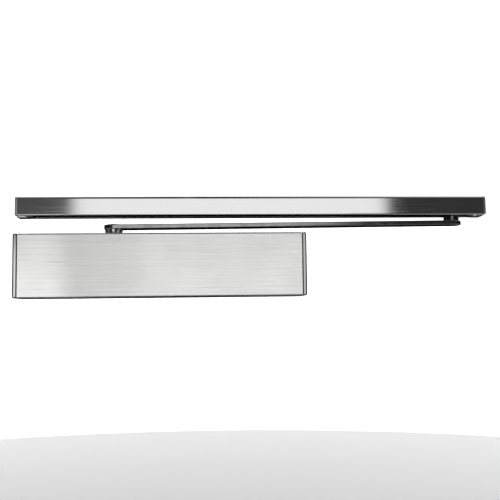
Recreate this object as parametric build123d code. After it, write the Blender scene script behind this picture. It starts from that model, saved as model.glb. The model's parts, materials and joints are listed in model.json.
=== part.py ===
"""Slide-rail door closer: rack-and-pinion closer body, flat slide arm and guide rail.

Origin: centre of the closer's back face, where it meets the door.
+X runs along the closer towards the spring end, +Y into the door, +Z up. Millimetres.
"""

from build123d import *
import math
import os

# ---------------------------------------------------------------- driving sizes
BODY_LENGTH = 291.0
BODY_HEIGHT = 64.0
BODY_DEPTH = 48.0
COVER_SHEET = 1.2
COVER_EDGE_R = 1.6
END_CAP = 4.2
CAP_EDGE_R = 1.5
CAP_RIM_WALL = 1.4
CAP_SCREW_Y = -10.0
COVER_HOLE_R = 11.0
FRONT_SIDE_Y = -40.0  # edges in front of this are rounded
FIT = 0.05  # radial running clearance of every moving fit
SEAT_GAP = 0.02  # radial clearance of pieces pressed or screwed together

PLATE = 3.0
PLATE_HALF_LENGTH = 138.0
DOOR_HOLE_R = 2.75
DOOR_HOLE_SPACING_X = 200.0
DOOR_HOLE_SPACING_Z = 38.0

SPINDLE_X = -48.7
AXIS_Y = -25.0  # spindle, piston and cylinder all lie on this plane
SPINDLE_R = 7.4

HOUSING_LEFT = -120.0
HOUSING_RIGHT = 130.0
HOUSING_FRONT = -45.6
HOUSING_HALF_HEIGHT = 27.5
CYLINDER_R = 17.0
TOWER_R = 16.0
TOWER_HALF_HEIGHT = 29.4
TOWER_BORE_R = 12.0
LUG_DEPTH = 10.0
LUG_Z = 23.2
LUG_NOTCH_Z = 19.0
HOUSING_SCREW_X = (-113.5, 123.5)
HOUSING_SCREW_R = 2.5

CASTING_POCKETS = ((32.0, 68.0), (74.0, 108.0))

VALVE_Z = 21.5
VALVE_R = 2.5
VALVE_TIP_Y = -31.0
GALLERY_Y = -33.0
GALLERY_R = 1.2
VALVE_X = {"closing_speed_valve": -104.0, "latching_speed_valve": -88.0, "backcheck_valve": 20.0}

TEETH = 10
MODULE = 1.8
PRESSURE_ANGLE = math.radians(25.0)
ADDENDUM = 0.8 * MODULE
DEDENDUM = 1.0 * MODULE
RACK_ROOT_DEPTH = 2.2
TOOTH_THINNING = 0.15
GEAR_HALF_WIDTH = 9.0
PITCH_R = TEETH * MODULE / 2
PISTON_TRAVEL = PITCH_R * math.pi

PISTON_LEFT = -101.0
PISTON_RIGHT = -22.0
SLOT_MARGIN = 12.0
SEAL_WIDTH = 2.6
SEAL_DEPTH = 1.6

SPRING_SEAT_FACE = 110.0
SPRING_WIRE_R = 2.6
SPRING_COIL_R = 12.7
SPRING_TURNS = 9
SPRING_SEAT_THICK = 4.0
PLUG_LENGTH = 12.0
KEY_HOLE_R = 1.8
KEY_CIRCLE_R = 12.0
ADJUSTER_R = 4.0
O_RING_R = 1.2
O_RING_INSET = 8.5
O_RING_CORE = 2.5  # groove bottom below the cylinder wall

HUB_BOTTOM = 33.0
HUB_TOP = 42.7
HUB_R_LOW = 8.5
HUB_R_HIGH = 9.2
HUB_SPIGOT_R = 6.9
SQUARE = 9.0
SQUARE_TOP = 39.4
SHAFT_TOP = 32.4
SHAFT_BOTTOM = -29.6
HUB_SCREW_SINK = 2.6
HUB_SCREW_BORE = 3.0
ARM_THICK = 4.6
ARM_HEAD_R = 10.0
ARM_NEAR_Z = 37.5
ARM_FAR_Z = 41.4
ARM_EDGE_R = 0.7
ARM_LEVEL = 14.0  # level stretch at each end before the bar slopes

SLIDER_X = 305.4
SLIDER_Y = -15.0
PIN_R = 4.0
PIN_COLLAR_R = 8.0
PIN_TOP = 65.0
RING_R = 6.0
RING_LOW = 62.5
RING_HIGH = 63.4

TRACK_LENGTH = 486.0
TRACK_CENTRE_X = 95.5
TRACK_BOTTOM = 51.5
TRACK_HEIGHT = 19.6
TRACK_DEPTH = 30.0
TRACK_SHEET = 1.0
TRACK_CAP = 2.7
TRACK_TOP_EDGE_R = 2.0
TRACK_BOTTOM_EDGE_R = 1.2
TRACK_FRONT_SIDE_Y = -20.0  # edges in front of this are rounded
TRACK_LIP_END = -22.5
RAIL_WALL = 2.6
RAIL_FLOOR = 2.4
RAIL_ROOF = 3.1
SLOT_WIDTH = 12.0
BUFFER_LENGTH = 4.0
SPIGOT_LENGTH = 8.0
TONGUE_REACH = 13.5
TONGUE_DROP = 1.0
TONGUE_WIDTH = 16.0
FRAME_HOLE_R = 2.6
FRAME_ACCESS_R = 5.0
FRAME_HOLE_SPACINGS = (430.0, 150.0)

# ---------------------------------------------------------------- worked-out places
HALF_LENGTH = BODY_LENGTH / 2
HALF_HEIGHT = BODY_HEIGHT / 2
COVER_HALF_LENGTH = HALF_LENGTH - END_CAP - 0.1
COVER_INNER_Z = HALF_HEIGHT - COVER_SHEET
PLATE_HALF_HEIGHT = COVER_INNER_Z - 0.2
TRACK_LEFT = TRACK_CENTRE_X - TRACK_LENGTH / 2
TRACK_RIGHT = TRACK_CENTRE_X + TRACK_LENGTH / 2
TRACK_TOP = TRACK_BOTTOM + TRACK_HEIGHT
RAIL_LEFT = TRACK_LEFT + TRACK_CAP
RAIL_RIGHT = TRACK_RIGHT - TRACK_CAP
RAIL_FRONT = -(TRACK_DEPTH - TRACK_SHEET - 0.2)
RAIL_BOTTOM = TRACK_BOTTOM + TRACK_SHEET + 0.1
RAIL_UNDERSIDE = TRACK_BOTTOM + SEAT_GAP
RAIL_TOP = TRACK_TOP - TRACK_SHEET - 0.1
CAVITY_FRONT = RAIL_FRONT + RAIL_WALL - 0.2
CAVITY_BACK = -RAIL_WALL
CAVITY_LOW = RAIL_BOTTOM + RAIL_FLOOR
CAVITY_HIGH = RAIL_TOP - RAIL_ROOF
RAIL_SCREW_Z = (CAVITY_LOW + CAVITY_HIGH) / 2
ARM_SPAN = math.hypot(SLIDER_X - SPINDLE_X, SLIDER_Y - AXIS_Y)
ARM_ANGLE = math.degrees(math.atan2(SLIDER_Y - AXIS_Y, SLIDER_X - SPINDLE_X))


# ---------------------------------------------------------------- shape helpers
def block(x, y, z):
    """Box between two corners, each axis given as (low, high) in any order."""
    spans = [(min(s), max(s)) for s in (x, y, z)]
    size = [high - low for low, high in spans]
    middle = [(high + low) / 2 for low, high in spans]
    return Pos(*middle) * Box(*size)


def rod_x(radius, x0, x1, y=AXIS_Y, z=0.0):
    """Round bar along X."""
    return Pos((x0 + x1) / 2, y, z) * Rot(0, 90, 0) * Cylinder(radius, abs(x1 - x0))


def rod_y(radius, y0, y1, x, z):
    """Round bar along Y."""
    return Pos(x, (y0 + y1) / 2, z) * Rot(90, 0, 0) * Cylinder(radius, abs(y1 - y0))


def rod_z(radius, z0, z1, x=SPINDLE_X, y=AXIS_Y):
    """Round bar along Z."""
    return Pos(x, y, (z0 + z1) / 2) * Cylinder(radius, abs(z1 - z0))


def cone_z(radius_low, radius_high, z0, z1, x=SPINDLE_X, y=AXIS_Y):
    """Cone along Z from radius_low at z0 to radius_high at z1."""
    return Pos(x, y, (z0 + z1) / 2) * Cone(radius_low, radius_high, z1 - z0)


def cone_x(radius_at_x0, radius_at_x1, x0, x1, y, z):
    """Cone along X, with x0 below x1."""
    return Pos((x0 + x1) / 2, y, z) * Rot(0, 90, 0) * Cone(radius_at_x0, radius_at_x1, x1 - x0)


def hex_socket_z(across_flats, depth, top_z, x, y):
    """Hexagonal key socket sunk from top_z."""
    hexagon = RegularPolygon(across_flats / 2, 6, major_radius=False)
    return Pos(x, y, top_z - depth) * extrude(hexagon, depth)


def hex_socket_x(across_flats, x0, x1, y=AXIS_Y, z=0.0):
    """Hexagonal key socket along X between x0 and x1."""
    hexagon = RegularPolygon(across_flats / 2, 6, major_radius=False)
    return Pos(min(x0, x1), y, z) * Rot(0, 90, 0) * extrude(hexagon, abs(x1 - x0))


def mirrored_x(shape):
    """Mirror image across the YZ plane."""
    return mirror(shape, about=Plane.YZ)


def edges_along(shape, axis, where):
    """Edges parallel to an axis whose centres pass a test."""
    return [edge for edge in shape.edges().filter_by(axis) if where(edge.center())]


def front_edges(shape, side_y):
    """Edges along X that lie in front of side_y."""
    return edges_along(shape, Axis.X, lambda centre: centre.Y < side_y)


# ---------------------------------------------------------------- closer body
def mounting_plate():
    """Steel back plate with a tapped tab turned forward at each end for the cover's cap."""
    tab_depth = 16.0
    tab_half_height = 14.0
    tab_thick = 2.0
    half_length = PLATE_HALF_LENGTH
    half_height = PLATE_HALF_HEIGHT
    plate = block((-half_length, half_length), (-PLATE, 0), (-half_height, half_height))
    for side in (-1, 1):
        outer = side * PLATE_HALF_LENGTH
        tab_x = (outer, outer - side * tab_thick)
        plate += block(tab_x, (-tab_depth, -PLATE / 2), (-tab_half_height, tab_half_height))
        plate -= rod_x(1.5, outer + side, outer - side * (tab_thick + 1), CAP_SCREW_Y)
    for x in (-DOOR_HOLE_SPACING_X / 2, DOOR_HOLE_SPACING_X / 2):
        for z in (-DOOR_HOLE_SPACING_Z / 2, DOOR_HOLE_SPACING_Z / 2):
            plate -= rod_y(DOOR_HOLE_R, -PLATE - 1, 1, x, z)
            sink = Cone(DOOR_HOLE_R, DOOR_HOLE_R + 2.4, 2.0)
            plate -= Pos(x, -PLATE + 1.0, z) * Rot(90, 0, 0) * sink
    for x in HOUSING_SCREW_X:
        for z in (-LUG_Z, LUG_Z):
            plate -= rod_y(HOUSING_SCREW_R, -PLATE - 1, 1, x, z)
    corners = plate.edges().filter_by(Axis.Y).filter_by(lambda edge: abs(edge.center().Z) > 30)
    return fillet(corners, 3.0)


def closer_housing():
    """Cast housing: cylinder along X, spindle tower across it, four lugs and the oil ways."""
    length = (HOUSING_LEFT, HOUSING_RIGHT)
    housing = block(length, (HOUSING_FRONT, -PLATE), (-HOUSING_HALF_HEIGHT, HOUSING_HALF_HEIGHT))
    housing = fillet(front_edges(housing, FRONT_SIDE_Y), 4.0)
    housing += rod_z(TOWER_R, -TOWER_HALF_HEIGHT, TOWER_HALF_HEIGHT)
    notch_length = 13.0
    for end, inward in ((HOUSING_LEFT, 1), (HOUSING_RIGHT, -1)):
        for side in (-1, 1):
            housing -= block(
                (end - inward, end + inward * notch_length),
                (HOUSING_FRONT - 1, -PLATE - LUG_DEPTH),
                (side * LUG_NOTCH_Z, side * (HOUSING_HALF_HEIGHT + 1)),
            )
    for x in HOUSING_SCREW_X:
        for z in (-LUG_Z, LUG_Z):
            housing -= rod_y(HOUSING_SCREW_R + 0.3, -PLATE - LUG_DEPTH - 1, -PLATE + 1, x, z)
    pocket_y = (HOUSING_FRONT - 1, HOUSING_FRONT + 14.0)
    for pocket in CASTING_POCKETS:
        for side in (-1, 1):
            housing -= block(pocket, pocket_y, (side * 20.5, side * 40.0))
    housing -= rod_x(CYLINDER_R, HOUSING_LEFT - 1, HOUSING_RIGHT + 1)
    housing -= rod_z(TOWER_BORE_R, -TOWER_HALF_HEIGHT - 1, TOWER_HALF_HEIGHT + 1)
    for x in VALVE_X.values():
        housing -= rod_y(VALVE_R, HOUSING_FRONT - 1, VALVE_TIP_Y, x, VALVE_Z)
        housing -= rod_z(1.0, 10.0, VALVE_Z, x, GALLERY_Y)
    housing -= rod_x(GALLERY_R, HOUSING_LEFT - 1, -66.0, GALLERY_Y, VALVE_Z)
    housing -= rod_x(GALLERY_R, -38.0, 26.0, GALLERY_Y, VALVE_Z)
    housing -= rod_x(2.0, HOUSING_LEFT - 1, HOUSING_LEFT + 5.0, GALLERY_Y, VALVE_Z)
    return housing


def housing_screws():
    """Four cap screws that hold the housing on its plate."""
    head_r = 4.1
    head_y = -PLATE - LUG_DEPTH
    screws = []
    for x in HOUSING_SCREW_X:
        for z in (-LUG_Z, LUG_Z):
            screw = rod_y(head_r, head_y - 4.0, head_y, x, z)
            screw += rod_y(HOUSING_SCREW_R - SEAT_GAP, head_y - 1, -0.3, x, z)
            hexagon = RegularPolygon(2.0, 6, major_radius=False)
            screw -= Pos(x, head_y - 1.6, z) * Rot(90, 0, 0) * extrude(hexagon, 3.0)
            screws.append(screw)
    return screws


def body_cover():
    """Bent sheet cover, a U that closes the top, front and underside."""
    span = (-COVER_HALF_LENGTH, COVER_HALF_LENGTH)
    outer = block(span, (-BODY_DEPTH, 0), (-HALF_HEIGHT, HALF_HEIGHT))
    outer = fillet(front_edges(outer, FRONT_SIDE_Y), COVER_EDGE_R)
    past_ends = (span[0] - 1, span[1] + 1)
    inner = block(past_ends, (-BODY_DEPTH + COVER_SHEET, 1), (-COVER_INNER_Z, COVER_INNER_Z))
    inner = fillet(front_edges(inner, FRONT_SIDE_Y), COVER_EDGE_R - COVER_SHEET)
    cover = outer - inner
    cover -= rod_z(COVER_HOLE_R, -HALF_HEIGHT - 1, HALF_HEIGHT + 1)
    return cover


def cover_end_cap_right():
    """End cap with a rounded outer edge, a locating rim and a countersunk hole."""
    outer_x = HALF_LENGTH
    inner_x = HALF_LENGTH - END_CAP
    cap = block((inner_x, outer_x), (-BODY_DEPTH, 0), (-HALF_HEIGHT, HALF_HEIGHT))
    cap = fillet(front_edges(cap, FRONT_SIDE_Y), COVER_EDGE_R)
    rim_edges = cap.faces().sort_by(Axis.X)[-1].edges().filter_by(lambda edge: edge.center().Y < -1)
    cap = fillet(rim_edges, CAP_EDGE_R)
    rim_x = (PLATE_HALF_LENGTH + 0.2, inner_x + 0.5)
    front = -BODY_DEPTH + COVER_SHEET + 0.1
    back = -4.0
    top = COVER_INNER_Z - 0.1
    rim = block(rim_x, (front, back), (-top, top))
    inner_top = top - CAP_RIM_WALL
    hollow = block(rim_x, (front + CAP_RIM_WALL, back - CAP_RIM_WALL), (-inner_top, inner_top))
    cap += rim - hollow
    cap -= rod_x(1.7, inner_x - 2, outer_x + 1, CAP_SCREW_Y)
    cap -= cone_x(1.7, 3.4, outer_x - 1.7, outer_x, CAP_SCREW_Y, 0.0)
    return cap


def cover_end_cap_left():
    """Mirror image of the right cap."""
    return mirrored_x(cover_end_cap_right())


def end_cap_screws():
    """One countersunk screw through each cap into the plate's tab."""
    outer_x = HALF_LENGTH
    screw = cone_x(1.6, 3.2, outer_x - 1.7, outer_x - 0.1, CAP_SCREW_Y, 0.0)
    screw += rod_x(1.5 - SEAT_GAP, outer_x - 11.0, outer_x - 1.5, CAP_SCREW_Y)
    slot_x = (outer_x - 0.9, outer_x + 1)
    for along, across in ((2.0, 0.35), (0.35, 2.0)):
        screw -= block(slot_x, (CAP_SCREW_Y - along, CAP_SCREW_Y + along), (-across, across))
    return [screw, mirrored_x(screw)]


def spindle_hole_plug():
    """Push-in plug for the unused spindle hole in the cover's underside."""
    plug = rod_z(COVER_HOLE_R - 0.1, -HALF_HEIGHT, -COVER_INNER_Z)
    plug += rod_z(9.6, -COVER_INNER_Z, -COVER_INNER_Z + 0.6)
    plug -= rod_z(8.4, -HALF_HEIGHT + 0.8, -COVER_INNER_Z + 1.0)
    return plug


def gallery_plug():
    """Screwed plug that closes the drilled oil gallery."""
    plug = rod_x(2.0 - SEAT_GAP, HOUSING_LEFT + 0.3, HOUSING_LEFT + 4.5, GALLERY_Y, VALVE_Z)
    plug -= hex_socket_x(1.8, HOUSING_LEFT, HOUSING_LEFT + 2.3, GALLERY_Y, VALVE_Z)
    return plug


# ---------------------------------------------------------------- cylinder ends
def o_ring_groove(middle_x):
    """Ring-shaped cutter for an O-ring groove in a plug."""
    core = rod_x(CYLINDER_R - O_RING_CORE, middle_x - 2, middle_x + 2)
    return rod_x(CYLINDER_R + 1, middle_x - 1.3, middle_x + 1.3) - core


def cylinder_end_plug():
    """Screwed plug at the pressure end of the cylinder."""
    plug = rod_x(CYLINDER_R - SEAT_GAP, HOUSING_LEFT, HOUSING_LEFT + PLUG_LENGTH)
    plug -= o_ring_groove(HOUSING_LEFT + O_RING_INSET)
    plug -= hex_socket_x(12.0, HOUSING_LEFT - 1, HOUSING_LEFT + 5.5)
    plug -= rod_x(12.5, HOUSING_LEFT + PLUG_LENGTH - 2.0, HOUSING_LEFT + PLUG_LENGTH + 1)
    return plug


def spring_end_plug():
    """Screwed plug at the spring end, bored for the power-adjusting screw."""
    plug = rod_x(CYLINDER_R - SEAT_GAP, HOUSING_RIGHT - PLUG_LENGTH, HOUSING_RIGHT)
    plug -= o_ring_groove(HOUSING_RIGHT - O_RING_INSET)
    plug -= rod_x(ADJUSTER_R + FIT, HOUSING_RIGHT - PLUG_LENGTH - 1, HOUSING_RIGHT + 1)
    for angle in (0, 90, 180, 270):
        y = AXIS_Y + KEY_CIRCLE_R * math.cos(math.radians(angle))
        z = KEY_CIRCLE_R * math.sin(math.radians(angle))
        plug -= rod_x(KEY_HOLE_R, HOUSING_RIGHT - 3.5, HOUSING_RIGHT + 1, y, z)
    return plug


def end_plug_o_rings():
    """O-ring of each cylinder end plug."""
    rings = []
    for x in (HOUSING_LEFT + O_RING_INSET, HOUSING_RIGHT - O_RING_INSET):
        ring = Torus(CYLINDER_R - SEAT_GAP - O_RING_R, O_RING_R)
        rings.append(Pos(x, AXIS_Y, 0) * Rot(0, 90, 0) * ring)
    return rings


def power_adjusting_screw():
    """Left-hand screw held by its collar behind the plug; turning it shifts the spring seat."""
    plug_face = HOUSING_RIGHT - PLUG_LENGTH
    screw = rod_x(ADJUSTER_R, 84.0, HOUSING_RIGHT)
    screw += rod_x(6.5, plug_face - 3.0, plug_face - 0.1)
    screw -= hex_socket_x(4.0, HOUSING_RIGHT - 4.0, HOUSING_RIGHT + 1)
    return screw


def spring_seat():
    """Threaded nut and flange that the spring pushes on."""
    seat = rod_x(CYLINDER_R - 0.5, SPRING_SEAT_FACE, SPRING_SEAT_FACE + SPRING_SEAT_THICK)
    seat += rod_x(7.5, SPRING_SEAT_FACE - 11.0, SPRING_SEAT_FACE + 1.0)
    seat -= rod_x(ADJUSTER_R + FIT, SPRING_SEAT_FACE - 12.0, SPRING_SEAT_FACE + SPRING_SEAT_THICK + 1)
    return seat


def main_spring():
    """Closing spring between piston and seat, a round wire wound on a helix."""
    margin = SPRING_WIRE_R + 0.1
    length = SPRING_SEAT_FACE - PISTON_RIGHT - 2 * margin
    path = Helix(pitch=length / SPRING_TURNS, height=length, radius=SPRING_COIL_R)
    start = Plane(origin=path @ 0, z_dir=path % 0)
    coil = sweep(start * Circle(SPRING_WIRE_R), path=path, is_frenet=True)
    return Pos(PISTON_RIGHT + margin, AXIS_Y, 0) * Rot(0, 90, 0) * coil


# ---------------------------------------------------------------- piston and gear
def rack_tooth(centre_x):
    """One straight-sided rack tooth, pointing to the spindle."""
    half = (math.pi * MODULE / 2 - TOOTH_THINNING) / 2
    slope = math.tan(PRESSURE_ANGLE)
    tip_half = half - ADDENDUM * slope
    root_half = half + (RACK_ROOT_DEPTH + 0.3) * slope
    tip_y = AXIS_Y - PITCH_R + ADDENDUM
    root_y = AXIS_Y - PITCH_R - RACK_ROOT_DEPTH - 0.3
    outline = Polyline(
        (centre_x - root_half, root_y),
        (centre_x - tip_half, tip_y),
        (centre_x + tip_half, tip_y),
        (centre_x + root_half, root_y),
        close=True,
    )
    width = GEAR_HALF_WIDTH - 0.2
    return Pos(0, 0, -width) * extrude(make_face(outline), 2 * width)


def piston():
    """Piston with a slot for the pinion and a rack along the slot's front wall."""
    slot_left = SPINDLE_X - PISTON_TRAVEL - SLOT_MARGIN
    slot_right = SPINDLE_X + SLOT_MARGIN
    slot_front = AXIS_Y - PITCH_R - RACK_ROOT_DEPTH
    slot_back = AXIS_Y + PITCH_R + ADDENDUM + 1.0
    body = rod_x(CYLINDER_R - FIT, PISTON_LEFT, PISTON_RIGHT)
    body -= block((slot_left, slot_right), (slot_front, slot_back), (-CYLINDER_R - 1, CYLINDER_R + 1))
    pitch = math.pi * MODULE
    first = math.ceil((slot_left + pitch / 2 - SPINDLE_X) / pitch - 0.5)
    last = math.floor((slot_right - pitch / 2 - SPINDLE_X) / pitch - 0.5)
    for index in range(first, last + 1):
        body += rack_tooth(SPINDLE_X + (index + 0.5) * pitch)
    for x in seal_places():
        body -= seal_ring(x, CYLINDER_R + 1)
    body -= rod_x(3.0, PISTON_LEFT - 1, PISTON_LEFT + 7.0, AXIS_Y, 0)
    body -= rod_x(1.4, PISTON_LEFT + 6.0, slot_left + 1, AXIS_Y, 0)
    body -= rod_x(9.0, PISTON_RIGHT - 3.0, PISTON_RIGHT + 1)
    return body


def seal_places():
    """Middle of the seal groove at each end of the piston."""
    return (PISTON_LEFT + 8.5, PISTON_RIGHT - 8.0)


def seal_ring(middle_x, outer_r):
    """Flat ring that fills a piston seal groove."""
    inner = rod_x(CYLINDER_R - FIT - SEAL_DEPTH, middle_x - SEAL_WIDTH, middle_x + SEAL_WIDTH)
    return rod_x(outer_r, middle_x - SEAL_WIDTH / 2, middle_x + SEAL_WIDTH / 2) - inner


def piston_seals():
    """Two lip seals in the piston's grooves."""
    return [seal_ring(x, CYLINDER_R - SEAT_GAP) for x in seal_places()]


def check_valve_ball():
    """Ball that lets oil back past the piston as the door opens."""
    return Pos(PISTON_LEFT + 4.6, AXIS_Y, 0) * Sphere(2.3)


def check_valve_retainer():
    """Ring pressed into the piston in front of the ball."""
    ring = rod_x(3.0 - SEAT_GAP, PISTON_LEFT, PISTON_LEFT + 1.6)
    ring -= rod_x(1.5, PISTON_LEFT - 1, PISTON_LEFT + 3.0)
    return ring


def involute_point(radius, base_r, half_angle_at_pitch, side):
    """Point of a tooth flank at a radius, with the tooth's centre line along +X."""
    pitch_roll = math.tan(PRESSURE_ANGLE) - PRESSURE_ANGLE
    pressure = math.acos(min(1.0, base_r / radius))
    angle = half_angle_at_pitch + pitch_roll - (math.tan(pressure) - pressure)
    return (radius * math.cos(side * angle), radius * math.sin(side * angle))


def pinion_face():
    """Outline of the pinion, one tooth pointing to the rack."""
    base_r = PITCH_R * math.cos(PRESSURE_ANGLE)
    root_r = PITCH_R - DEDENDUM
    tip_r = PITCH_R + ADDENDUM
    steps = 5
    radii = [base_r + (tip_r - base_r) * k / steps for k in range(steps + 1)]
    half = (math.pi * MODULE / 2 - TOOTH_THINNING) / 2 / PITCH_R
    root_half = math.atan2(*reversed(involute_point(base_r, base_r, half, 1)))
    tooth = [(root_r * math.cos(root_half), -root_r * math.sin(root_half))]
    tooth += [involute_point(radius, base_r, half, -1) for radius in radii]
    tooth += [involute_point(radius, base_r, half, 1) for radius in reversed(radii)]
    tooth += [(root_r * math.cos(root_half), root_r * math.sin(root_half))]
    points = []
    for index in range(TEETH):
        turn = -math.pi / 2 + index * 2 * math.pi / TEETH
        for x, y in tooth:
            cosine = math.cos(turn)
            sine = math.sin(turn)
            points.append((x * cosine - y * sine, x * sine + y * cosine))
    return make_face(Polyline(*points, close=True))


def pinion_spindle():
    """Spindle with its pinion, a square end for the arm and a tapped hole for its screw."""
    gear = extrude(pinion_face(), 2 * GEAR_HALF_WIDTH)
    spindle = Pos(SPINDLE_X, AXIS_Y, -GEAR_HALF_WIDTH) * gear
    spindle += rod_z(SPINDLE_R, GEAR_HALF_WIDTH, SHAFT_TOP)
    spindle += rod_z(SPINDLE_R, SHAFT_BOTTOM, -GEAR_HALF_WIDTH)
    half = SQUARE / 2
    square = (SPINDLE_X - half, SPINDLE_X + half), (AXIS_Y - half, AXIS_Y + half)
    spindle += block(*square, (SHAFT_TOP, SQUARE_TOP))
    spindle -= rod_z(HUB_SCREW_BORE, 22.0, SQUARE_TOP + 1)
    spindle -= hex_socket_z(8.0, 5.0, -24.6, SPINDLE_X, AXIS_Y)
    return spindle


def needle_bearing(low_z):
    """Drawn-cup needle bearing: outer shell and its rollers."""
    length = 6.0
    roller_r = 1.3
    pitch_r = SPINDLE_R + FIT + roller_r
    shell = rod_z(TOWER_BORE_R - SEAT_GAP, low_z, low_z + length)
    shell -= rod_z(pitch_r + roller_r + 0.05, low_z - 1, low_z + length + 1)
    lip_r = pitch_r + 0.7
    for z in (low_z, low_z + length - 0.6):
        lip = rod_z(TOWER_BORE_R - 1.0, z, z + 0.6) - rod_z(lip_r, z - 1, z + 2)
        shell += lip
    solids = [shell]
    rollers = 16
    for index in range(rollers):
        angle = 2 * math.pi * index / rollers
        x = SPINDLE_X + pitch_r * math.cos(angle)
        y = AXIS_Y + pitch_r * math.sin(angle)
        solids.append(rod_z(roller_r, low_z + 0.8, low_z + length - 0.8, x, y))
    return solids


def upper_needle_bearing():
    """Bearing above the pinion."""
    return needle_bearing(17.2)


def lower_needle_bearing():
    """Bearing below the pinion."""
    return needle_bearing(-23.2)


def both_ends(make):
    """The same ring above and below the pinion."""
    return [make(1), make(-1)]


def spindle_seals():
    """Rotary shaft seals outside the bearings."""

    def seal(side):
        ring = rod_z(TOWER_BORE_R - SEAT_GAP, side * 23.4, side * 26.4)
        return ring - rod_z(SPINDLE_R + FIT, side * 22.0, side * 28.0)

    return both_ends(seal)


def gland_nuts():
    """Screwed rings that hold bearings and seals in the tower."""

    def nut(side):
        ring = rod_z(TOWER_BORE_R - SEAT_GAP, side * 26.5, side * 29.8)
        ring -= rod_z(SPINDLE_R + 0.4, side * 25.0, side * 31.0)
        for angle in (45, 135, 225, 315):
            x = SPINDLE_X + 10.0 * math.cos(math.radians(angle))
            y = AXIS_Y + 10.0 * math.sin(math.radians(angle))
            ring -= rod_z(1.0, side * 28.0, side * 31.0, x, y)
        return ring

    return both_ends(nut)


def valve(x):
    """Needle valve screw with a screwdriver slot."""
    front = HOUSING_FRONT + 0.4
    shoulder = VALVE_TIP_Y - 4.0
    needle = rod_y(VALVE_R - FIT, front, shoulder, x, VALVE_Z)
    needle += rod_y(0.9, shoulder - 1, VALVE_TIP_Y - 1.0, x, VALVE_Z)
    needle -= block((x - 3, x + 3), (front - 1, front + 1.2), (VALVE_Z - 0.4, VALVE_Z + 0.4))
    needle -= rod_y(3.0, -41.0, -39.4, x, VALVE_Z) - rod_y(VALVE_R - 0.8, -42.0, -39.0, x, VALVE_Z)
    return needle


# ---------------------------------------------------------------- arm
def square_hole(z0, z1):
    """Square socket for the spindle's end."""
    half = SQUARE / 2 + 0.05
    return block((SPINDLE_X - half, SPINDLE_X + half), (AXIS_Y - half, AXIS_Y + half), (z0, z1))


def arm_hub():
    """Steel hub riveted in the arm, squared for the spindle and countersunk for its screw."""
    hub = cone_z(HUB_R_LOW, HUB_R_HIGH, HUB_BOTTOM, ARM_NEAR_Z)
    hub += rod_z(HUB_SPIGOT_R, ARM_NEAR_Z - 0.5, HUB_TOP)
    hub -= square_hole(HUB_BOTTOM - 1, SQUARE_TOP + 0.2)
    hub -= rod_z(HUB_SCREW_BORE + 0.1, SQUARE_TOP - 0.4, HUB_TOP + 1)
    hub -= cone_z(HUB_SCREW_BORE + 0.1, 5.7, HUB_TOP - HUB_SCREW_SINK, HUB_TOP)
    return hub


def main_arm():
    """Flat slide arm with round ends: level at each end and climbing between them."""
    profile = Polyline(
        (-ARM_HEAD_R - 1, ARM_NEAR_Z),
        (ARM_LEVEL, ARM_NEAR_Z),
        (ARM_SPAN - ARM_LEVEL, ARM_FAR_Z),
        (ARM_SPAN + ARM_HEAD_R + 1, ARM_FAR_Z),
        (ARM_SPAN + ARM_HEAD_R + 1, ARM_FAR_Z + ARM_THICK),
        (ARM_SPAN - ARM_LEVEL, ARM_FAR_Z + ARM_THICK),
        (ARM_LEVEL, ARM_NEAR_Z + ARM_THICK),
        (-ARM_HEAD_R - 1, ARM_NEAR_Z + ARM_THICK),
        close=True,
    )
    side_view = Plane.XZ * make_face(profile)
    slab = Pos(0, ARM_HEAD_R + 5, 0) * extrude(side_view, 2 * ARM_HEAD_R + 10)
    plan = Pos(ARM_SPAN / 2, 0) * SlotCenterToCenter(ARM_SPAN, 2 * ARM_HEAD_R)
    arm = slab & (Pos(0, 0, ARM_NEAR_Z - 5) * extrude(plan, ARM_THICK + 15))
    long_edges = [edge for edge in arm.edges() if edge.length > ARM_SPAN / 2]
    arm = fillet(long_edges, ARM_EDGE_R)
    arm = Pos(SPINDLE_X, AXIS_Y, 0) * Rot(0, 0, ARM_ANGLE) * arm
    arm -= rod_z(HUB_SPIGOT_R + SEAT_GAP, ARM_NEAR_Z - 1, ARM_NEAR_Z + ARM_THICK + 1)
    arm -= rod_z(PIN_R + 0.5 + SEAT_GAP, ARM_FAR_Z - 1, ARM_FAR_Z + ARM_THICK + 1, SLIDER_X, SLIDER_Y)
    return arm


def arm_fixing_screw():
    """Countersunk screw that pulls the arm onto the spindle."""
    screw = cone_z(HUB_SCREW_BORE, 5.5, HUB_TOP - HUB_SCREW_SINK, HUB_TOP - 0.1)
    screw += rod_z(HUB_SCREW_BORE - SEAT_GAP, 24.0, HUB_TOP - 2.0)
    screw -= hex_socket_z(4.0, 2.6, HUB_TOP, SPINDLE_X, AXIS_Y)
    return screw


def slider_pin():
    """Shouldered pin riveted in the arm's far eye."""
    top = TRACK_BOTTOM - 0.3
    arm_top = ARM_FAR_Z + ARM_THICK
    pin = rod_z(PIN_R + 0.5, ARM_FAR_Z, arm_top + 0.1, SLIDER_X, SLIDER_Y)
    pin += rod_z(PIN_COLLAR_R, arm_top + 0.05, top, SLIDER_X, SLIDER_Y)
    pin += rod_z(PIN_R, top - 1, PIN_TOP, SLIDER_X, SLIDER_Y)
    groove = rod_z(PIN_R + 1, RING_LOW - 0.1, RING_HIGH + 0.1, SLIDER_X, SLIDER_Y)
    pin -= groove - rod_z(PIN_R - 0.6, RING_LOW - 1, RING_HIGH + 1, SLIDER_X, SLIDER_Y)
    return pin


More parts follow.
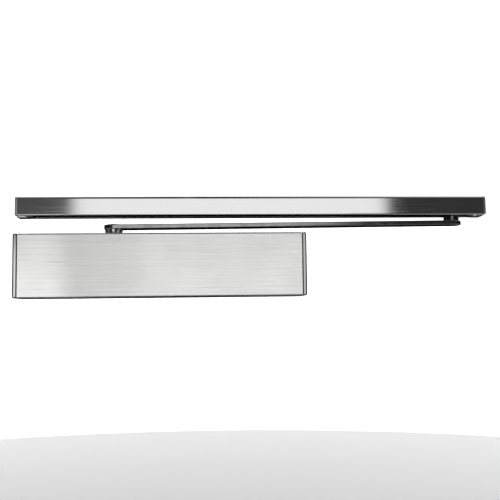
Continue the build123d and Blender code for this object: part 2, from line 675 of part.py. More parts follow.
def pin_circlip():
    """Open retaining ring in the pin's groove."""
    ring = rod_z(RING_R, RING_LOW, RING_HIGH, SLIDER_X, SLIDER_Y)
    ring -= rod_z(PIN_R - 0.58, RING_LOW - 1, RING_HIGH + 1, SLIDER_X, SLIDER_Y)
    gap_z = (RING_LOW - 1, RING_HIGH + 1)
    return ring - block((SLIDER_X, SLIDER_X + 8), (SLIDER_Y - 1.4, SLIDER_Y + 1.4), gap_z)


# ---------------------------------------------------------------- guide rail
def slide_block():
    """Plastic block that runs in the rail on the arm's pin."""
    half_length = 12.0
    gap = 0.3
    shape = block(
        (SLIDER_X - half_length, SLIDER_X + half_length),
        (CAVITY_FRONT + gap, CAVITY_BACK - gap),
        (CAVITY_LOW + gap, CAVITY_HIGH - gap),
    )
    shape = fillet(shape.edges().filter_by(Axis.Z), 2.0)
    shape -= rod_z(PIN_R + FIT, CAVITY_LOW - 1, CAVITY_HIGH + 1, SLIDER_X, SLIDER_Y)
    shape -= rod_z(RING_R + 1.0, RING_LOW - 0.4, CAVITY_HIGH + 1, SLIDER_X, SLIDER_Y)
    return shape


def frame_hole_places():
    """X of every frame screw hole in the rail."""
    return [TRACK_CENTRE_X + side * span / 2 for span in FRAME_HOLE_SPACINGS for side in (-1, 1)]


def track_rail():
    """Extruded channel with its slot on the underside and screw holes in the back."""
    span = (RAIL_LEFT, RAIL_RIGHT)
    rail = block(span, (RAIL_FRONT, 0), (RAIL_BOTTOM, RAIL_TOP))
    rail += block(span, (TRACK_LIP_END + 0.1, 0), (RAIL_UNDERSIDE, RAIL_BOTTOM + 1))
    ends = (RAIL_LEFT - 1, RAIL_RIGHT + 1)
    rail -= block(ends, (CAVITY_FRONT, CAVITY_BACK), (CAVITY_LOW, CAVITY_HIGH))
    slot = (SLIDER_Y - SLOT_WIDTH / 2, SLIDER_Y + SLOT_WIDTH / 2)
    rail -= block(ends, slot, (RAIL_UNDERSIDE - 1, CAVITY_LOW + 1))
    for x in frame_hole_places():
        rail -= rod_y(FRAME_HOLE_R, -RAIL_WALL - 1, 1, x, RAIL_SCREW_Z)
        rail -= rod_y(FRAME_ACCESS_R, RAIL_FRONT - 1, CAVITY_FRONT + 1, x, RAIL_SCREW_Z)
    return rail


def with_rounded_front(shape):
    """Round the two long front edges of a piece as high as the track."""
    middle = TRACK_BOTTOM + TRACK_HEIGHT / 2
    for radius, side in ((TRACK_TOP_EDGE_R, 1), (TRACK_BOTTOM_EDGE_R, -1)):
        edges = front_edges(shape, TRACK_FRONT_SIDE_Y)
        shape = fillet([edge for edge in edges if (edge.center().Z - middle) * side > 0], radius)
    return shape


def track_cover():
    """Sheet cover clipped over the rail's top, front and lower lip."""
    span = (RAIL_LEFT, RAIL_RIGHT)
    outer = block(span, (-TRACK_DEPTH, 0), (TRACK_BOTTOM, TRACK_TOP))
    outer = with_rounded_front(outer)
    ends = (span[0] - 1, span[1] + 1)
    inside = (TRACK_BOTTOM + TRACK_SHEET, TRACK_TOP - TRACK_SHEET)
    cover = outer - block(ends, (-TRACK_DEPTH + TRACK_SHEET, 1), inside)
    cover -= block(ends, (TRACK_LIP_END, 1), (TRACK_BOTTOM - 1, TRACK_BOTTOM + TRACK_SHEET + 0.5))
    return cover


def track_end_cap_right():
    """Rail end cap: plate, spigot in the channel and a tongue under the slot."""
    inner_x = RAIL_RIGHT + 0.05
    outer_x = TRACK_RIGHT
    cap = block((inner_x, outer_x), (-TRACK_DEPTH, 0), (TRACK_BOTTOM, TRACK_TOP))
    cap = with_rounded_front(cap)
    rim_edges = cap.faces().sort_by(Axis.X)[-1].edges().filter_by(lambda edge: edge.center().Y < -1)
    cap = fillet(rim_edges, 1.0)
    gap = 0.3
    cap += block(
        (inner_x - SPIGOT_LENGTH, inner_x + 0.5),
        (CAVITY_FRONT + gap, CAVITY_BACK - gap),
        (CAVITY_LOW + gap, CAVITY_HIGH - gap),
    )
    throat = (SLIDER_Y - SLOT_WIDTH / 2 + gap, SLIDER_Y + SLOT_WIDTH / 2 - gap)
    cap += block((inner_x - SPIGOT_LENGTH, inner_x + 0.5), throat, (TRACK_BOTTOM - 0.2, CAVITY_LOW + 1))
    half = TONGUE_WIDTH / 2
    tongue_z = (TRACK_BOTTOM - TONGUE_DROP, TRACK_BOTTOM)
    nose_x = inner_x - TONGUE_REACH + half
    tongue = block((nose_x, outer_x - 1.2), (SLIDER_Y - half, SLIDER_Y + half), tongue_z)
    tongue += rod_z(half, *tongue_z, nose_x, SLIDER_Y)
    cap += tongue
    screw_x = inner_x - SPIGOT_LENGTH / 2
    cap -= rod_z(1.5, tongue_z[0] - 1, CAVITY_LOW + 6.0, screw_x, SLIDER_Y)
    cap -= cone_z(2.9, 1.5, tongue_z[0], tongue_z[0] + 1.4, screw_x, SLIDER_Y)
    return cap


def mirrored_on_track(shape):
    """Mirror image across the middle of the rail."""
    return Pos(2 * TRACK_CENTRE_X, 0, 0) * mirrored_x(shape)


def track_end_cap_left():
    """Mirror image of the right rail cap."""
    return mirrored_on_track(track_end_cap_right())


def track_cap_screws():
    """Countersunk screw through the tongue of each rail cap."""
    screw_x = RAIL_RIGHT + 0.05 - SPIGOT_LENGTH / 2
    low = TRACK_BOTTOM - TONGUE_DROP
    screw = cone_z(2.8, 1.5, low + 0.05, low + 1.35, screw_x, SLIDER_Y)
    screw += rod_z(1.5 - SEAT_GAP, low + 1.0, CAVITY_LOW + 5.0, screw_x, SLIDER_Y)
    for across, along in ((1.7, 0.3), (0.3, 1.7)):
        slot_x = (screw_x - across, screw_x + across)
        screw -= block(slot_x, (SLIDER_Y - along, SLIDER_Y + along), (low, low + 0.8))
    return [screw, mirrored_on_track(screw)]


def track_buffers():
    """Rubber stop against the spigot of each rail cap."""
    face_x = RAIL_RIGHT - SPIGOT_LENGTH
    buffer = block(
        (face_x - BUFFER_LENGTH, face_x),
        (CAVITY_FRONT + 0.6, CAVITY_BACK - 0.6),
        (CAVITY_LOW + 0.6, CAVITY_HIGH - 0.6),
    )
    return [buffer, mirrored_on_track(buffer)]


# ---------------------------------------------------------------- the parts
MAKERS = [
    mounting_plate,
    closer_housing,
    housing_screws,
    body_cover,
    cover_end_cap_left,
    cover_end_cap_right,
    end_cap_screws,
    spindle_hole_plug,
    gallery_plug,
    cylinder_end_plug,
    spring_end_plug,
    end_plug_o_rings,
    power_adjusting_screw,
    spring_seat,
    main_spring,
    piston,
    piston_seals,
    check_valve_ball,
    check_valve_retainer,
    pinion_spindle,
    upper_needle_bearing,
    lower_needle_bearing,
    spindle_seals,
    gland_nuts,
    arm_hub,
    main_arm,
    arm_fixing_screw,
    slider_pin,
    pin_circlip,
    slide_block,
    track_rail,
    track_cover,
    track_end_cap_left,
    track_end_cap_right,
    track_cap_screws,
    track_buffers,
]


def save(name, shape):
    """Write one node; a list of solids is kept as a group."""
    solids = shape if isinstance(shape, list) else [shape]
    whole = [solid for item in solids for solid in item.solids()]
    export_step(whole[0] if len(whole) == 1 else Compound(children=whole), f"parts/{name}.step")


os.makedirs("parts", exist_ok=True)
for maker in MAKERS:
    save(maker.__name__, maker())
for valve_name, valve_x in VALVE_X.items():
    save(valve_name, valve(valve_x))
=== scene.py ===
"""Looks of a slide-rail door closer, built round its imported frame.

The frame gives every size and place. Pieces are shaped in millimetres and set down in metres.
"""

import json
import logging
import math
from dataclasses import dataclass, field, replace
from enum import Enum
from typing import Callable, ClassVar, Iterable, Sequence

import bmesh
import bpy
from mathutils import Matrix, Vector


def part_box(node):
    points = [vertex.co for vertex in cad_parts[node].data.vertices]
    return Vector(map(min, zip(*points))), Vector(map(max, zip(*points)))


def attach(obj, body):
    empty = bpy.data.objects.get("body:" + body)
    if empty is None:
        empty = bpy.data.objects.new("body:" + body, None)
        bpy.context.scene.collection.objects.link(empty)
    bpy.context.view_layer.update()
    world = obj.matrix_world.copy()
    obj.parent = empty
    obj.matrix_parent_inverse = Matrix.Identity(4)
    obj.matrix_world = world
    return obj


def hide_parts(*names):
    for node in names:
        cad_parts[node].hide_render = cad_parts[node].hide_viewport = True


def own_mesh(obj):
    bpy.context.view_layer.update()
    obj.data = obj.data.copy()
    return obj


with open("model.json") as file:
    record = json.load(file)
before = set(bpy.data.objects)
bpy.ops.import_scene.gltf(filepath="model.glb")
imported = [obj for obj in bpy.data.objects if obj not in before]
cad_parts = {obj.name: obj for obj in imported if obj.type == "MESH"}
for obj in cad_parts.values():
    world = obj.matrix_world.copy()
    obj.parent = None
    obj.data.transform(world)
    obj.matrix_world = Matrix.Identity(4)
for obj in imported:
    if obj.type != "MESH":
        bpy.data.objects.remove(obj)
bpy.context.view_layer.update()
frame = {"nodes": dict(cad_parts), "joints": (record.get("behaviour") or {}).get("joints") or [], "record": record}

MM = 0.001
PAST = 1.0  # how far a cutter runs past the face that it cuts, in millimetres
LOG = logging.getLogger("door_closer")

Point = tuple[float, float]
Corner = tuple[float, float, float]
Colour = tuple[float, float, float]


# ------------------------------------------------------------------ shader wrapper
class Field:
    """A number that varies over a surface, with arithmetic that adds Math nodes."""

    def __init__(self, graph: "Graph", socket: bpy.types.NodeSocket) -> None:
        """Wrap one output socket of a node tree."""
        self.graph = graph
        self.socket = socket

    def __add__(self, other: "Field | float") -> "Field":
        """Sum."""
        return self.graph.math("ADD", self, other)

    __radd__ = __add__

    def __mul__(self, other: "Field | float") -> "Field":
        """Product."""
        return self.graph.math("MULTIPLY", self, other)

    __rmul__ = __mul__

    def __sub__(self, other: "Field | float") -> "Field":
        """Difference."""
        return self.graph.math("SUBTRACT", self, other)

    def __rsub__(self, other: "Field | float") -> "Field":
        """Difference with the plain number first."""
        return self.graph.math("SUBTRACT", other, self)

    def fade(self, low: float, high: float) -> "Field":
        """Smooth step.

        Args:
            low: value at and below which the step is 0.
            high: value at and above which the step is 1.

        Returns:
            The stepped field.
        """
        node = self.graph.node(
            "ShaderNodeMapRange",
            {"interpolation_type": "SMOOTHSTEP"},
            {"Value": self, "From Min": low, "From Max": high},
        )
        return Field(self.graph, node.outputs["Result"])


class Graph:
    """A node tree with short ways to add nodes and expressions."""

    def __init__(self, tree: bpy.types.NodeTree) -> None:
        """Start on an emptied node tree."""
        self.tree = tree
        self.tree.nodes.clear()

    def node(self, kind: str, settings: dict | None = None, inputs: dict | None = None) -> bpy.types.Node:
        """Add a node.

        Args:
            kind: Blender's name of the node type.
            settings: properties set first.
            inputs: socket name or number to a value, a Field or another socket.

        Returns:
            The new node.
        """
        node = self.tree.nodes.new(kind)
        for name, value in (settings or {}).items():
            setattr(node, name, value)
        for name, value in (inputs or {}).items():
            self.plug(value, node.inputs[name])
        return node

    def plug(self, value: object, socket: bpy.types.NodeSocket) -> None:
        """Fill a socket.

        Args:
            value: a Field or an output socket, which is linked, or a plain value.
            socket: the input socket.
        """
        if isinstance(value, Field):
            self.tree.links.new(value.socket, socket)
        elif isinstance(value, bpy.types.NodeSocket):
            self.tree.links.new(value, socket)
        else:
            socket.default_value = value

    def math(self, operation: str, *terms: "Field | float") -> Field:
        """Add a Math node on one to three terms."""
        node = self.node("ShaderNodeMath", {"operation": operation}, dict(enumerate(terms)))
        return Field(self, node.outputs[0])

    def place(self) -> bpy.types.NodeSocket:
        """Position on the object, in metres."""
        return self.node("ShaderNodeTexCoord").outputs["Object"]

    def stretched(self, scale: Sequence[float], turn: Sequence[float] = (0, 0, 0)) -> bpy.types.NodeSocket:
        """Position scaled along each axis, for grain and brushing.

        Args:
            scale: lines per metre along each axis.
            turn: rotation about each axis, in radians.

        Returns:
            The scaled position.
        """
        mapping = self.node(
            "ShaderNodeMapping",
            inputs={"Vector": self.place(), "Scale": tuple(scale), "Rotation": tuple(turn)},
        )
        return mapping.outputs["Vector"]

    def noise(self, where: bpy.types.NodeSocket, scale: float, detail: float, rough: float) -> Field:
        """Fractal noise from 0 to 1 about 0.5.

        Args:
            where: position that the noise is read at.
            scale: spots per unit of position.
            detail: number of finer layers.
            rough: strength of the finer layers.

        Returns:
            The noise.
        """
        node = self.node(
            "ShaderNodeTexNoise",
            {"noise_dimensions": "3D"},
            {"Vector": where, "Scale": scale, "Detail": detail, "Roughness": rough},
        )
        return Field(self, node.outputs[0])

    def blend(self, factor: Field, first: object, second: object) -> bpy.types.NodeSocket:
        """Colour mix.

        Args:
            factor: 0 for the first colour, 1 for the second.
            first: a plain colour or a colour socket.
            second: a plain colour or a colour socket.

        Returns:
            The mixed colour.
        """
        node = self.node(
            "ShaderNodeMix", {"data_type": "RGBA"}, {0: factor, 6: self._rgba(first), 7: self._rgba(second)}
        )
        return node.outputs[2]

    @staticmethod
    def _rgba(colour: object) -> object:
        """A plain colour with its alpha, or the socket as it is."""
        return (*colour, 1.0) if isinstance(colour, tuple) else colour

    def bump(self, height: Field, strength: float, depth: float) -> bpy.types.NodeSocket:
        """Normal from a height field; depth is in metres."""
        node = self.node("ShaderNodeBump", inputs={"Strength": strength, "Distance": depth, "Height": height})
        return node.outputs["Normal"]


# ------------------------------------------------------------------ finishes
class Grain(Enum):
    """Axis that the brushing runs along."""

    ALONG_X = (6.0, 700.0, 700.0)
    ALONG_Y = (700.0, 6.0, 700.0)
    ALONG_Z = (700.0, 700.0, 6.0)


@dataclass(frozen=True)
class Finish:
    """A surface finish: subclasses say what varies over the surface."""

    name: str
    colour: Colour
    roughness: float
    metallic: float = 1.0
    made: ClassVar[dict[str, bpy.types.Material]] = {}

    def material(self) -> bpy.types.Material:
        """Build the material once and hand out the same one afterwards."""
        if self.name not in Finish.made:
            material = bpy.data.materials.new(self.name)
            material.use_nodes = True
            graph = Graph(material.node_tree)
            sockets = {"Metallic": self.metallic, **self.constants(), **self.surface(graph)}
            shader = graph.node("ShaderNodeBsdfPrincipled", inputs=sockets)
            graph.node("ShaderNodeOutputMaterial", inputs={"Surface": shader.outputs[0]})
            Finish.made[self.name] = material
        return Finish.made[self.name]

    def constants(self) -> dict[str, float]:
        """Shader sockets that are the same all over."""
        return {}

    def surface(self, graph: Graph) -> dict[str, object]:
        """Shader sockets that vary over the surface."""
        raise NotImplementedError

    def shade(self, amount: float) -> Colour:
        """The colour made lighter or darker by a factor."""
        return tuple(min(1.0, channel * amount) for channel in self.colour)


@dataclass(frozen=True)
class BrushedMetal(Finish):
    """Metal brushed one way: long fine lines, a few deeper ones and faint handling marks."""

    grain: Grain = Grain.ALONG_X
    contrast: float = 0.05
    anisotropy: float = 0.8
    turn: float = 0.25
    depth: float = 0.00001

    def constants(self) -> dict[str, float]:
        """Stretch of the highlight across the brushing."""
        return {"Anisotropic": self.anisotropy, "Anisotropic Rotation": self.turn}

    def surface(self, graph: Graph) -> dict[str, object]:
        """Lines in colour, roughness and height."""
        lines = graph.noise(graph.stretched(self.grain.value), 1.0, 5.0, 0.68)
        cuts = graph.noise(graph.stretched([axis * 2.3 for axis in self.grain.value]), 1.0, 2.0, 0.5)
        marks = graph.noise(graph.place(), 28.0, 3.0, 0.55)
        deep = cuts.fade(0.62, 0.74)
        tone = lines.fade(0.25, 0.75) - 0.22 * deep
        dark, light = self.shade(1 - self.contrast), self.shade(1 + self.contrast)
        return {
            "Base Color": graph.blend(tone, dark, light),
            "Roughness": self.roughness + 0.10 * (lines - 0.5) + 0.05 * (marks - 0.5) + 0.05 * deep,
            "Normal": graph.bump(lines - 0.5 * deep, 0.35, self.depth),
        }


@dataclass(frozen=True)
class PlatedMetal(Finish):
    """Plated or polished metal with cloudy patches, fine scratches and worn edges."""

    cloud: float = 0.12
    wear: float = 0.25

    def surface(self, graph: Graph) -> dict[str, object]:
        """Clouding, scratches and brighter worn edges."""
        place = graph.place()
        clouds = graph.noise(place, 140.0, 4.0, 0.6)
        fine = graph.noise(graph.stretched((900.0, 900.0, 60.0), (0.5, 0.3, 0.9)), 1.0, 3.0, 0.6)
        edge = Field(graph, graph.node("ShaderNodeNewGeometry").outputs["Pointiness"]).fade(0.52, 0.60)
        body = graph.blend(clouds.fade(0.3, 0.7), self.shade(1 - self.cloud), self.shade(1 + self.cloud))
        return {
            "Base Color": graph.blend(edge * self.wear, body, self.shade(1.35)),
            "Roughness": self.roughness + 0.12 * (clouds - 0.5) + 0.10 * (fine - 0.5),
            "Normal": graph.bump(fine + clouds, 0.2, 0.00001),
        }


@dataclass(frozen=True)
class CastMetal(Finish):
    """Casting skin: grainy, dull, with rubbed edges."""

    def surface(self, graph: Graph) -> dict[str, object]:
        """Sand grain, blotches and rubbed edges."""
        place = graph.place()
        sand = graph.noise(place, 1800.0, 4.0, 0.6)
        blotch = graph.noise(place, 60.0, 3.0, 0.5)
        edge = Field(graph, graph.node("ShaderNodeNewGeometry").outputs["Pointiness"]).fade(0.52, 0.58)
        skin = graph.blend(blotch.fade(0.3, 0.7), self.shade(0.8), self.shade(1.15))
        return {
            "Base Color": graph.blend(edge * 0.6, skin, self.shade(1.7)),
            "Roughness": self.roughness + 0.2 * (sand - 0.5) - 0.15 * edge,
            "Normal": graph.bump(sand + 0.5 * blotch, 0.5, 0.00012),
        }


@dataclass(frozen=True)
class Moulding(Finish):
    """Moulded plastic or rubber: fine erosion texture and slight colour drift."""

    texture: float = 1400.0
    depth: float = 0.00003
    metallic: float = 0.0

    def surface(self, graph: Graph) -> dict[str, object]:
        """Spark-eroded texture with soft scuffs."""
        place = graph.place()
        pits = graph.noise(place, self.texture, 3.0, 0.55)
        scuff = graph.noise(place, 90.0, 4.0, 0.6)
        return {
            "Base Color": graph.blend(scuff.fade(0.35, 0.7), self.shade(0.88), self.shade(1.12)),
            "Roughness": self.roughness + 0.18 * (scuff - 0.5) + 0.08 * (pits - 0.5),
            "Normal": graph.bump(pits, 0.4, self.depth),
        }


SATIN = BrushedMetal(
    "satin_stainless", (0.82, 0.82, 0.815), 0.17, contrast=0.10, anisotropy=1.0, depth=0.000002
)
FINISHES: dict[str, Finish] = {
    finish.name: finish
    for finish in (
        SATIN,
        replace(SATIN, name="satin_top", turn=0.0),
        BrushedMetal(
            "polished_stainless", (0.80, 0.80, 0.80), 0.06, contrast=0.02, anisotropy=0.0, depth=0.0000004
        ),
        BrushedMetal(
            "end_cap_metal", (0.42, 0.42, 0.42), 0.10, grain=Grain.ALONG_Z, contrast=0.04, anisotropy=0.0,
            depth=0.000003,
        ),
        BrushedMetal(
            "satin_nickel", (0.52, 0.52, 0.51), 0.28, grain=Grain.ALONG_Z, anisotropy=0.0, depth=0.000005
        ),
        BrushedMetal("rail_aluminium", (0.52, 0.53, 0.54), 0.16, contrast=0.06, anisotropy=0.0),
        BrushedMetal(
            "hardened_steel", (0.46, 0.46, 0.47), 0.26, grain=Grain.ALONG_Y, contrast=0.08, anisotropy=0.0
        ),
        PlatedMetal("arm_steel", (0.31, 0.31, 0.31), 0.13, cloud=0.16),
        PlatedMetal("dark_steel", (0.50, 0.50, 0.50), 0.08, cloud=0.10),
        PlatedMetal("blackened_steel", (0.15, 0.15, 0.15), 0.14, cloud=0.10),
        PlatedMetal("zinc_plate", (0.62, 0.63, 0.64), 0.36, cloud=0.10),
        PlatedMetal("spring_steel", (0.13, 0.13, 0.14), 0.34, cloud=0.2),
        CastMetal("cast_housing", (0.33, 0.33, 0.34), 0.55),
        CastMetal("cast_piston", (0.42, 0.42, 0.43), 0.38),
        Moulding("seal_rubber", (0.03, 0.03, 0.03), 0.62),
        Moulding("black_plastic", (0.035, 0.035, 0.037), 0.48),
        Moulding("sliding_nylon", (0.78, 0.76, 0.70), 0.42),
    )
}


# ------------------------------------------------------------------ shaping
class Plane(Enum):
    """Plane that an outline is drawn in; the third axis is its thickness."""

    XY = (0, 1, 2)
    XZ = (0, 2, 1)
    YZ = (1, 2, 0)

    def at(self, u: float, v: float, w: float) -> Vector:
        """Point in space.

        Args:
            u: first coordinate in the plane.
            v: second coordinate in the plane.
            w: distance across the plane.

        Returns:
            The point.
        """
        point = Vector((0.0, 0.0, 0.0))
        for axis, value in zip(self.value, (u, v, w)):
            point[axis] = value
        return point


def rounded(corners: Sequence[Corner], steps: int = 6) -> list[Point]:
    """Closed outline with its corners turned into arcs.

    Args:
        corners: (u, v, radius) of each corner in order; radius 0 stays sharp.
        steps: straight pieces in each arc.

    Returns:
        The outline's points.
    """
    points: list[Point] = []
    for index, (u, v, radius) in enumerate(corners):
        here = Vector((u, v))
        if radius <= 0:
            points.append((u, v))
            continue
        before = (Vector(corners[index - 1][:2]) - here).normalized()
        after = (Vector(corners[(index + 1) % len(corners)][:2]) - here).normalized()
        half = math.acos(max(-1.0, min(1.0, before.dot(after)))) / 2
        centre = here + (before + after).normalized() * (radius / math.sin(half))
        reach = radius / math.tan(half)
        first = here + before * reach - centre
        last = here + after * reach - centre
        turn = math.atan2(first.x * last.y - first.y * last.x, first.dot(last))
        for step in range(steps + 1):
            spoke = Matrix.Rotation(turn * step / steps, 2) @ first
            points.append((centre.x + spoke.x, centre.y + spoke.y))
    return points


@dataclass(frozen=True)
class Box:
    """Lowest and highest corner of a node, in millimetres."""

    low: Vector
    high: Vector

    @staticmethod
    def of(node: str) -> "Box":
        """Box of a node at rest."""
        low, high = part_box(node)
        return Box(Vector(low) / MM, Vector(high) / MM)

    @property
    def middle(self) -> Vector:
        """Centre of the box."""
        return (self.low + self.high) / 2

    @property
    def size(self) -> Vector:
        """Length of each side."""
        return self.high - self.low


class Workpiece:
    """A piece being shaped, in millimetres, until it is set down on its body."""

    def __init__(self, name: str, shape: bmesh.types.BMesh) -> None:
        """Put a mesh on the bench."""
        mesh = bpy.data.meshes.new(name)
        shape.to_mesh(mesh)
        shape.free()
        self.object = bpy.data.objects.new(name, mesh)
        bpy.context.scene.collection.objects.link(self.object)

    @classmethod
    def prism(
        cls, name: str, outline: Sequence[Point], plane: Plane, low: float, high: float
    ) -> "Workpiece":
        """Outline pulled straight across its plane.

        Args:
            name: the piece's name.
            outline: closed outline, in order.
            plane: plane that it is drawn in.
            low: where the pull starts.
            high: where it ends.

        Returns:
            The prism.
        """
        shape = bmesh.new()
        rings = [[shape.verts.new(plane.at(u, v, w)) for u, v in outline] for w in (low, high)]
        shape.faces.new(rings[0])
        shape.faces.new(rings[1])
        for index in range(len(outline)):
            after = (index + 1) % len(outline)
            shape.faces.new((rings[0][index], rings[0][after], rings[1][after], rings[1][index]))
        bmesh.ops.recalc_face_normals(shape, faces=shape.faces)
        return cls(name, shape)

    @classmethod
    def block(cls, name: str, low: Sequence[float], high: Sequence[float]) -> "Workpiece":
        """Rectangular block.

        Args:
            name: the piece's name.
            low: lowest corner.
            high: highest corner.

        Returns:
            The block.
        """
        outline = [(low[0], low[1]), (high[0], low[1]), (high[0], high[1]), (low[0], high[1])]
        return cls.prism(name, outline, Plane.XY, low[2], high[2])

    @classmethod
    def turned(
        cls, name: str, profile: Sequence[Point], centre: Sequence[float], axis: Plane, segments: int
    ) -> "Workpiece":
        """Profile of (radius, height) turned round an axis.

        Args:
            name: the piece's name.
            profile: closed loop of (radius, height); radius 0 marks the axis.
            centre: a point on the axis that heights are counted from.
            axis: plane across the axis: XY turns about Z, YZ about X, XZ about Y.
            segments: number of facets round the piece.

        Returns:
            The turned piece.
        """
        shape = bmesh.new()
        origin = Vector(centre)
        rings: list[list[bmesh.types.BMVert]] = []
        for radius, height in profile:
            if radius <= 0:
                rings.append([shape.verts.new(origin + axis.at(0, 0, height))] * segments)
                continue
            ring = []
            for index in range(segments):
                angle = 2 * math.pi * index / segments
                spoke = axis.at(radius * math.cos(angle), radius * math.sin(angle), height)
                ring.append(shape.verts.new(origin + spoke))
            rings.append(ring)
        for index, ring in enumerate(rings):
            other = rings[(index + 1) % len(rings)]
            for k in range(segments):
                corners = [ring[k], ring[(k + 1) % segments], other[(k + 1) % segments], other[k]]
                distinct = list(dict.fromkeys(corners))
                if len(distinct) > 2:
                    shape.faces.new(distinct)
        bmesh.ops.recalc_face_normals(shape, faces=shape.faces)
        return cls(name, shape)

    @classmethod
    def drill(
        cls, radius: float, start: Sequence[float], length: float, axis: Plane, sides: int = 48
    ) -> "Workpiece":
        """Round cutter.

        Args:
            radius: the hole's radius.
            start: centre of the end that it starts at.
            length: how far it goes along the axis; it may be negative.
            axis: plane across the axis.
            sides: number of facets round it.

        Returns:
            The cutter.
        """
        low, high = sorted((0.0, length))
        profile = [(0.0, low), (radius, low), (radius, high), (0.0, high)]
        return cls.turned("drill", profile, start, axis, sides)

    def _bake(self) -> None:
        """Turn the modifiers into plain mesh."""
        depsgraph = bpy.context.evaluated_depsgraph_get()
        evaluated = self.object.evaluated_get(depsgraph)
        mesh = bpy.data.meshes.new_from_object(evaluated, preserve_all_data_layers=True, depsgraph=depsgraph)
        self.object.modifiers.clear()
        self.object.data = mesh

    def _combine(self, operation: str, others: Iterable["Workpiece"]) -> "Workpiece":
        """Boolean with other pieces, which are used up.

        Args:
            operation: Blender's name of the boolean.
            others: the other pieces.

        Returns:
            This piece, changed.
        """
        for other in others:
            modifier = self.object.modifiers.new("boolean", "BOOLEAN")
            modifier.operation = operation
            modifier.solver = "EXACT"
            modifier.object = other.object
            self._bake()
            bpy.data.objects.remove(other.object)
        return self

    def cut(self, *others: "Workpiece") -> "Workpiece":
        """Take other pieces away."""
        return self._combine("DIFFERENCE", others)

    def weld(self, *others: "Workpiece") -> "Workpiece":
        """Join other pieces into one solid."""
        return self._combine("UNION", others)

    def group(self, other: "Workpiece") -> "Workpiece":
        """Hold two separate solids in one piece, which uses the other up."""
        shape = bmesh.new()
        shape.from_mesh(self.object.data)
        shape.from_mesh(other.object.data)
        shape.to_mesh(self.object.data)
        shape.free()
        bpy.data.objects.remove(other.object)
        return self

    def moved(self, change: Matrix) -> "Workpiece":
        """Move the piece's points, and keep its faces outward in a mirror."""
        self.object.data.transform(change)
        if change.determinant() < 0:
            self.object.data.flip_normals()
        return self

    def copy(self) -> "Workpiece":
        """A second piece of the same shape."""
        shape = bmesh.new()
        shape.from_mesh(self.object.data)
        return Workpiece(self.object.name, shape)

    def mirrored(self, about_x: float) -> "Workpiece":
        """A second piece, mirrored across the plane x = about_x."""
        change = Matrix.Translation((2 * about_x, 0, 0)) @ Matrix.Diagonal((-1, 1, 1, 1))
        return self.copy().moved(change)

    def round(self, radius: float, where: Callable[[bmesh.types.BMEdge], bool], steps: int) -> "Workpiece":
        """Round some edges.

        Args:
            radius: radius of the rounding.
            where: test that the edges have to pass.
            steps: straight pieces in each arc.

        Returns:
            This piece, changed.
        """
        shape = bmesh.new()
        shape.from_mesh(self.object.data)
        edges = [edge for edge in shape.edges if where(edge)]
        bmesh.ops.bevel(
            shape, geom=edges, offset=radius, segments=steps, profile=0.5, affect="EDGES", clamp_overlap=True
        )
        shape.to_mesh(self.object.data)
        shape.free()
        return self

    def soften(self, radius: float = 0.25, steps: int = 2, angle: float = 32.0) -> "Workpiece":
        """Take the sharpness off the edges.

        Args:
            radius: width of the easing.
            steps: straight pieces in it.
            angle: least turn between two faces, in degrees, that counts as an edge.

        Returns:
            This piece, changed.
        """
        modifier = self.object.modifiers.new("bevel", "BEVEL")
        modifier.width = radius
        modifier.segments = steps
        modifier.limit_method = "ANGLE"
        modifier.angle_limit = math.radians(angle)
        modifier.use_clamp_overlap = True
        modifier.miter_outer = "MITER_ARC"
        self._bake()
        return self

    def set_down(
        self, slot: str, body: str, replaces: Sequence[str] = (), finish: str | None = None
    ) -> bpy.types.Object:
        """Finish the piece and put it on its body.

        Args:
            slot: the record's material slot.
            body: CAD body that the piece moves with.
            replaces: CAD nodes that it stands for.
            finish: another finish than the slot's own.

        Returns:
            The finished object, in metres.
        """
        mesh = self.object.data
        mesh.transform(Matrix.Scale(MM, 4))
        mesh.materials.clear()
        mesh.materials.append(FINISHES[finish or slot].material())
        for polygon in mesh.polygons:
            polygon.use_smooth = True
            polygon.material_index = 0
        modifier = self.object.modifiers.new("normals", "WEIGHTED_NORMAL")
        modifier.keep_sharp = True
        modifier.weight = 100
        mesh.set_sharp_from_angle(angle=math.radians(35))
        self._bake()
        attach(self.object, body)
        if replaces:
            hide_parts(*replaces)
        LOG.info("%s: %d faces on %s", self.object.name, len(self.object.data.polygons), body)
        return self.object


def front_edge_at(x: float) -> Callable[[bmesh.types.BMEdge], bool]:
    """Test for the edges of a cap that lie at x and off the back plane."""

    def test(edge: bmesh.types.BMEdge) -> bool:
        """True for an edge with both ends at x whose middle is in front."""
        ends = [vertex.co for vertex in edge.verts]
        return all(abs(end.x - x) < 0.01 for end in ends) and (ends[0].y + ends[1].y) / 2 < -0.1

    return test


def rectangle(length: float, width: float) -> list[Point]:
    """Corners of a rectangle about the origin, in order."""
    x, y = length / 2, width / 2
    return [(-x, -y), (x, -y), (x, y), (-x, y)]


def joint_place(name: str) -> Vector:
    """Where a joint's axis passes, in millimetres."""
    joint = next(item for item in frame["joints"] if item["name"] == name)
    return Vector(joint["pos_m"]) / MM


def hex_socket(across_flats: float, depth: float, top: Vector) -> Workpiece:
    """Hexagonal socket cutter that sinks straight down.

    Args:
        across_flats: size of the key.
        depth: depth of the socket.
        top: centre of the face that it sinks from.

    Returns:
        The cutter.
    """
    radius = across_flats / math.sqrt(3)
    turns = [math.pi * corner / 3 for corner in range(6)]
    outline = [(radius * math.cos(turn), radius * math.sin(turn)) for turn in turns]
    return Workpiece.prism("socket", outline, Plane.XY, -depth, PAST).moved(Matrix.Translation(top))


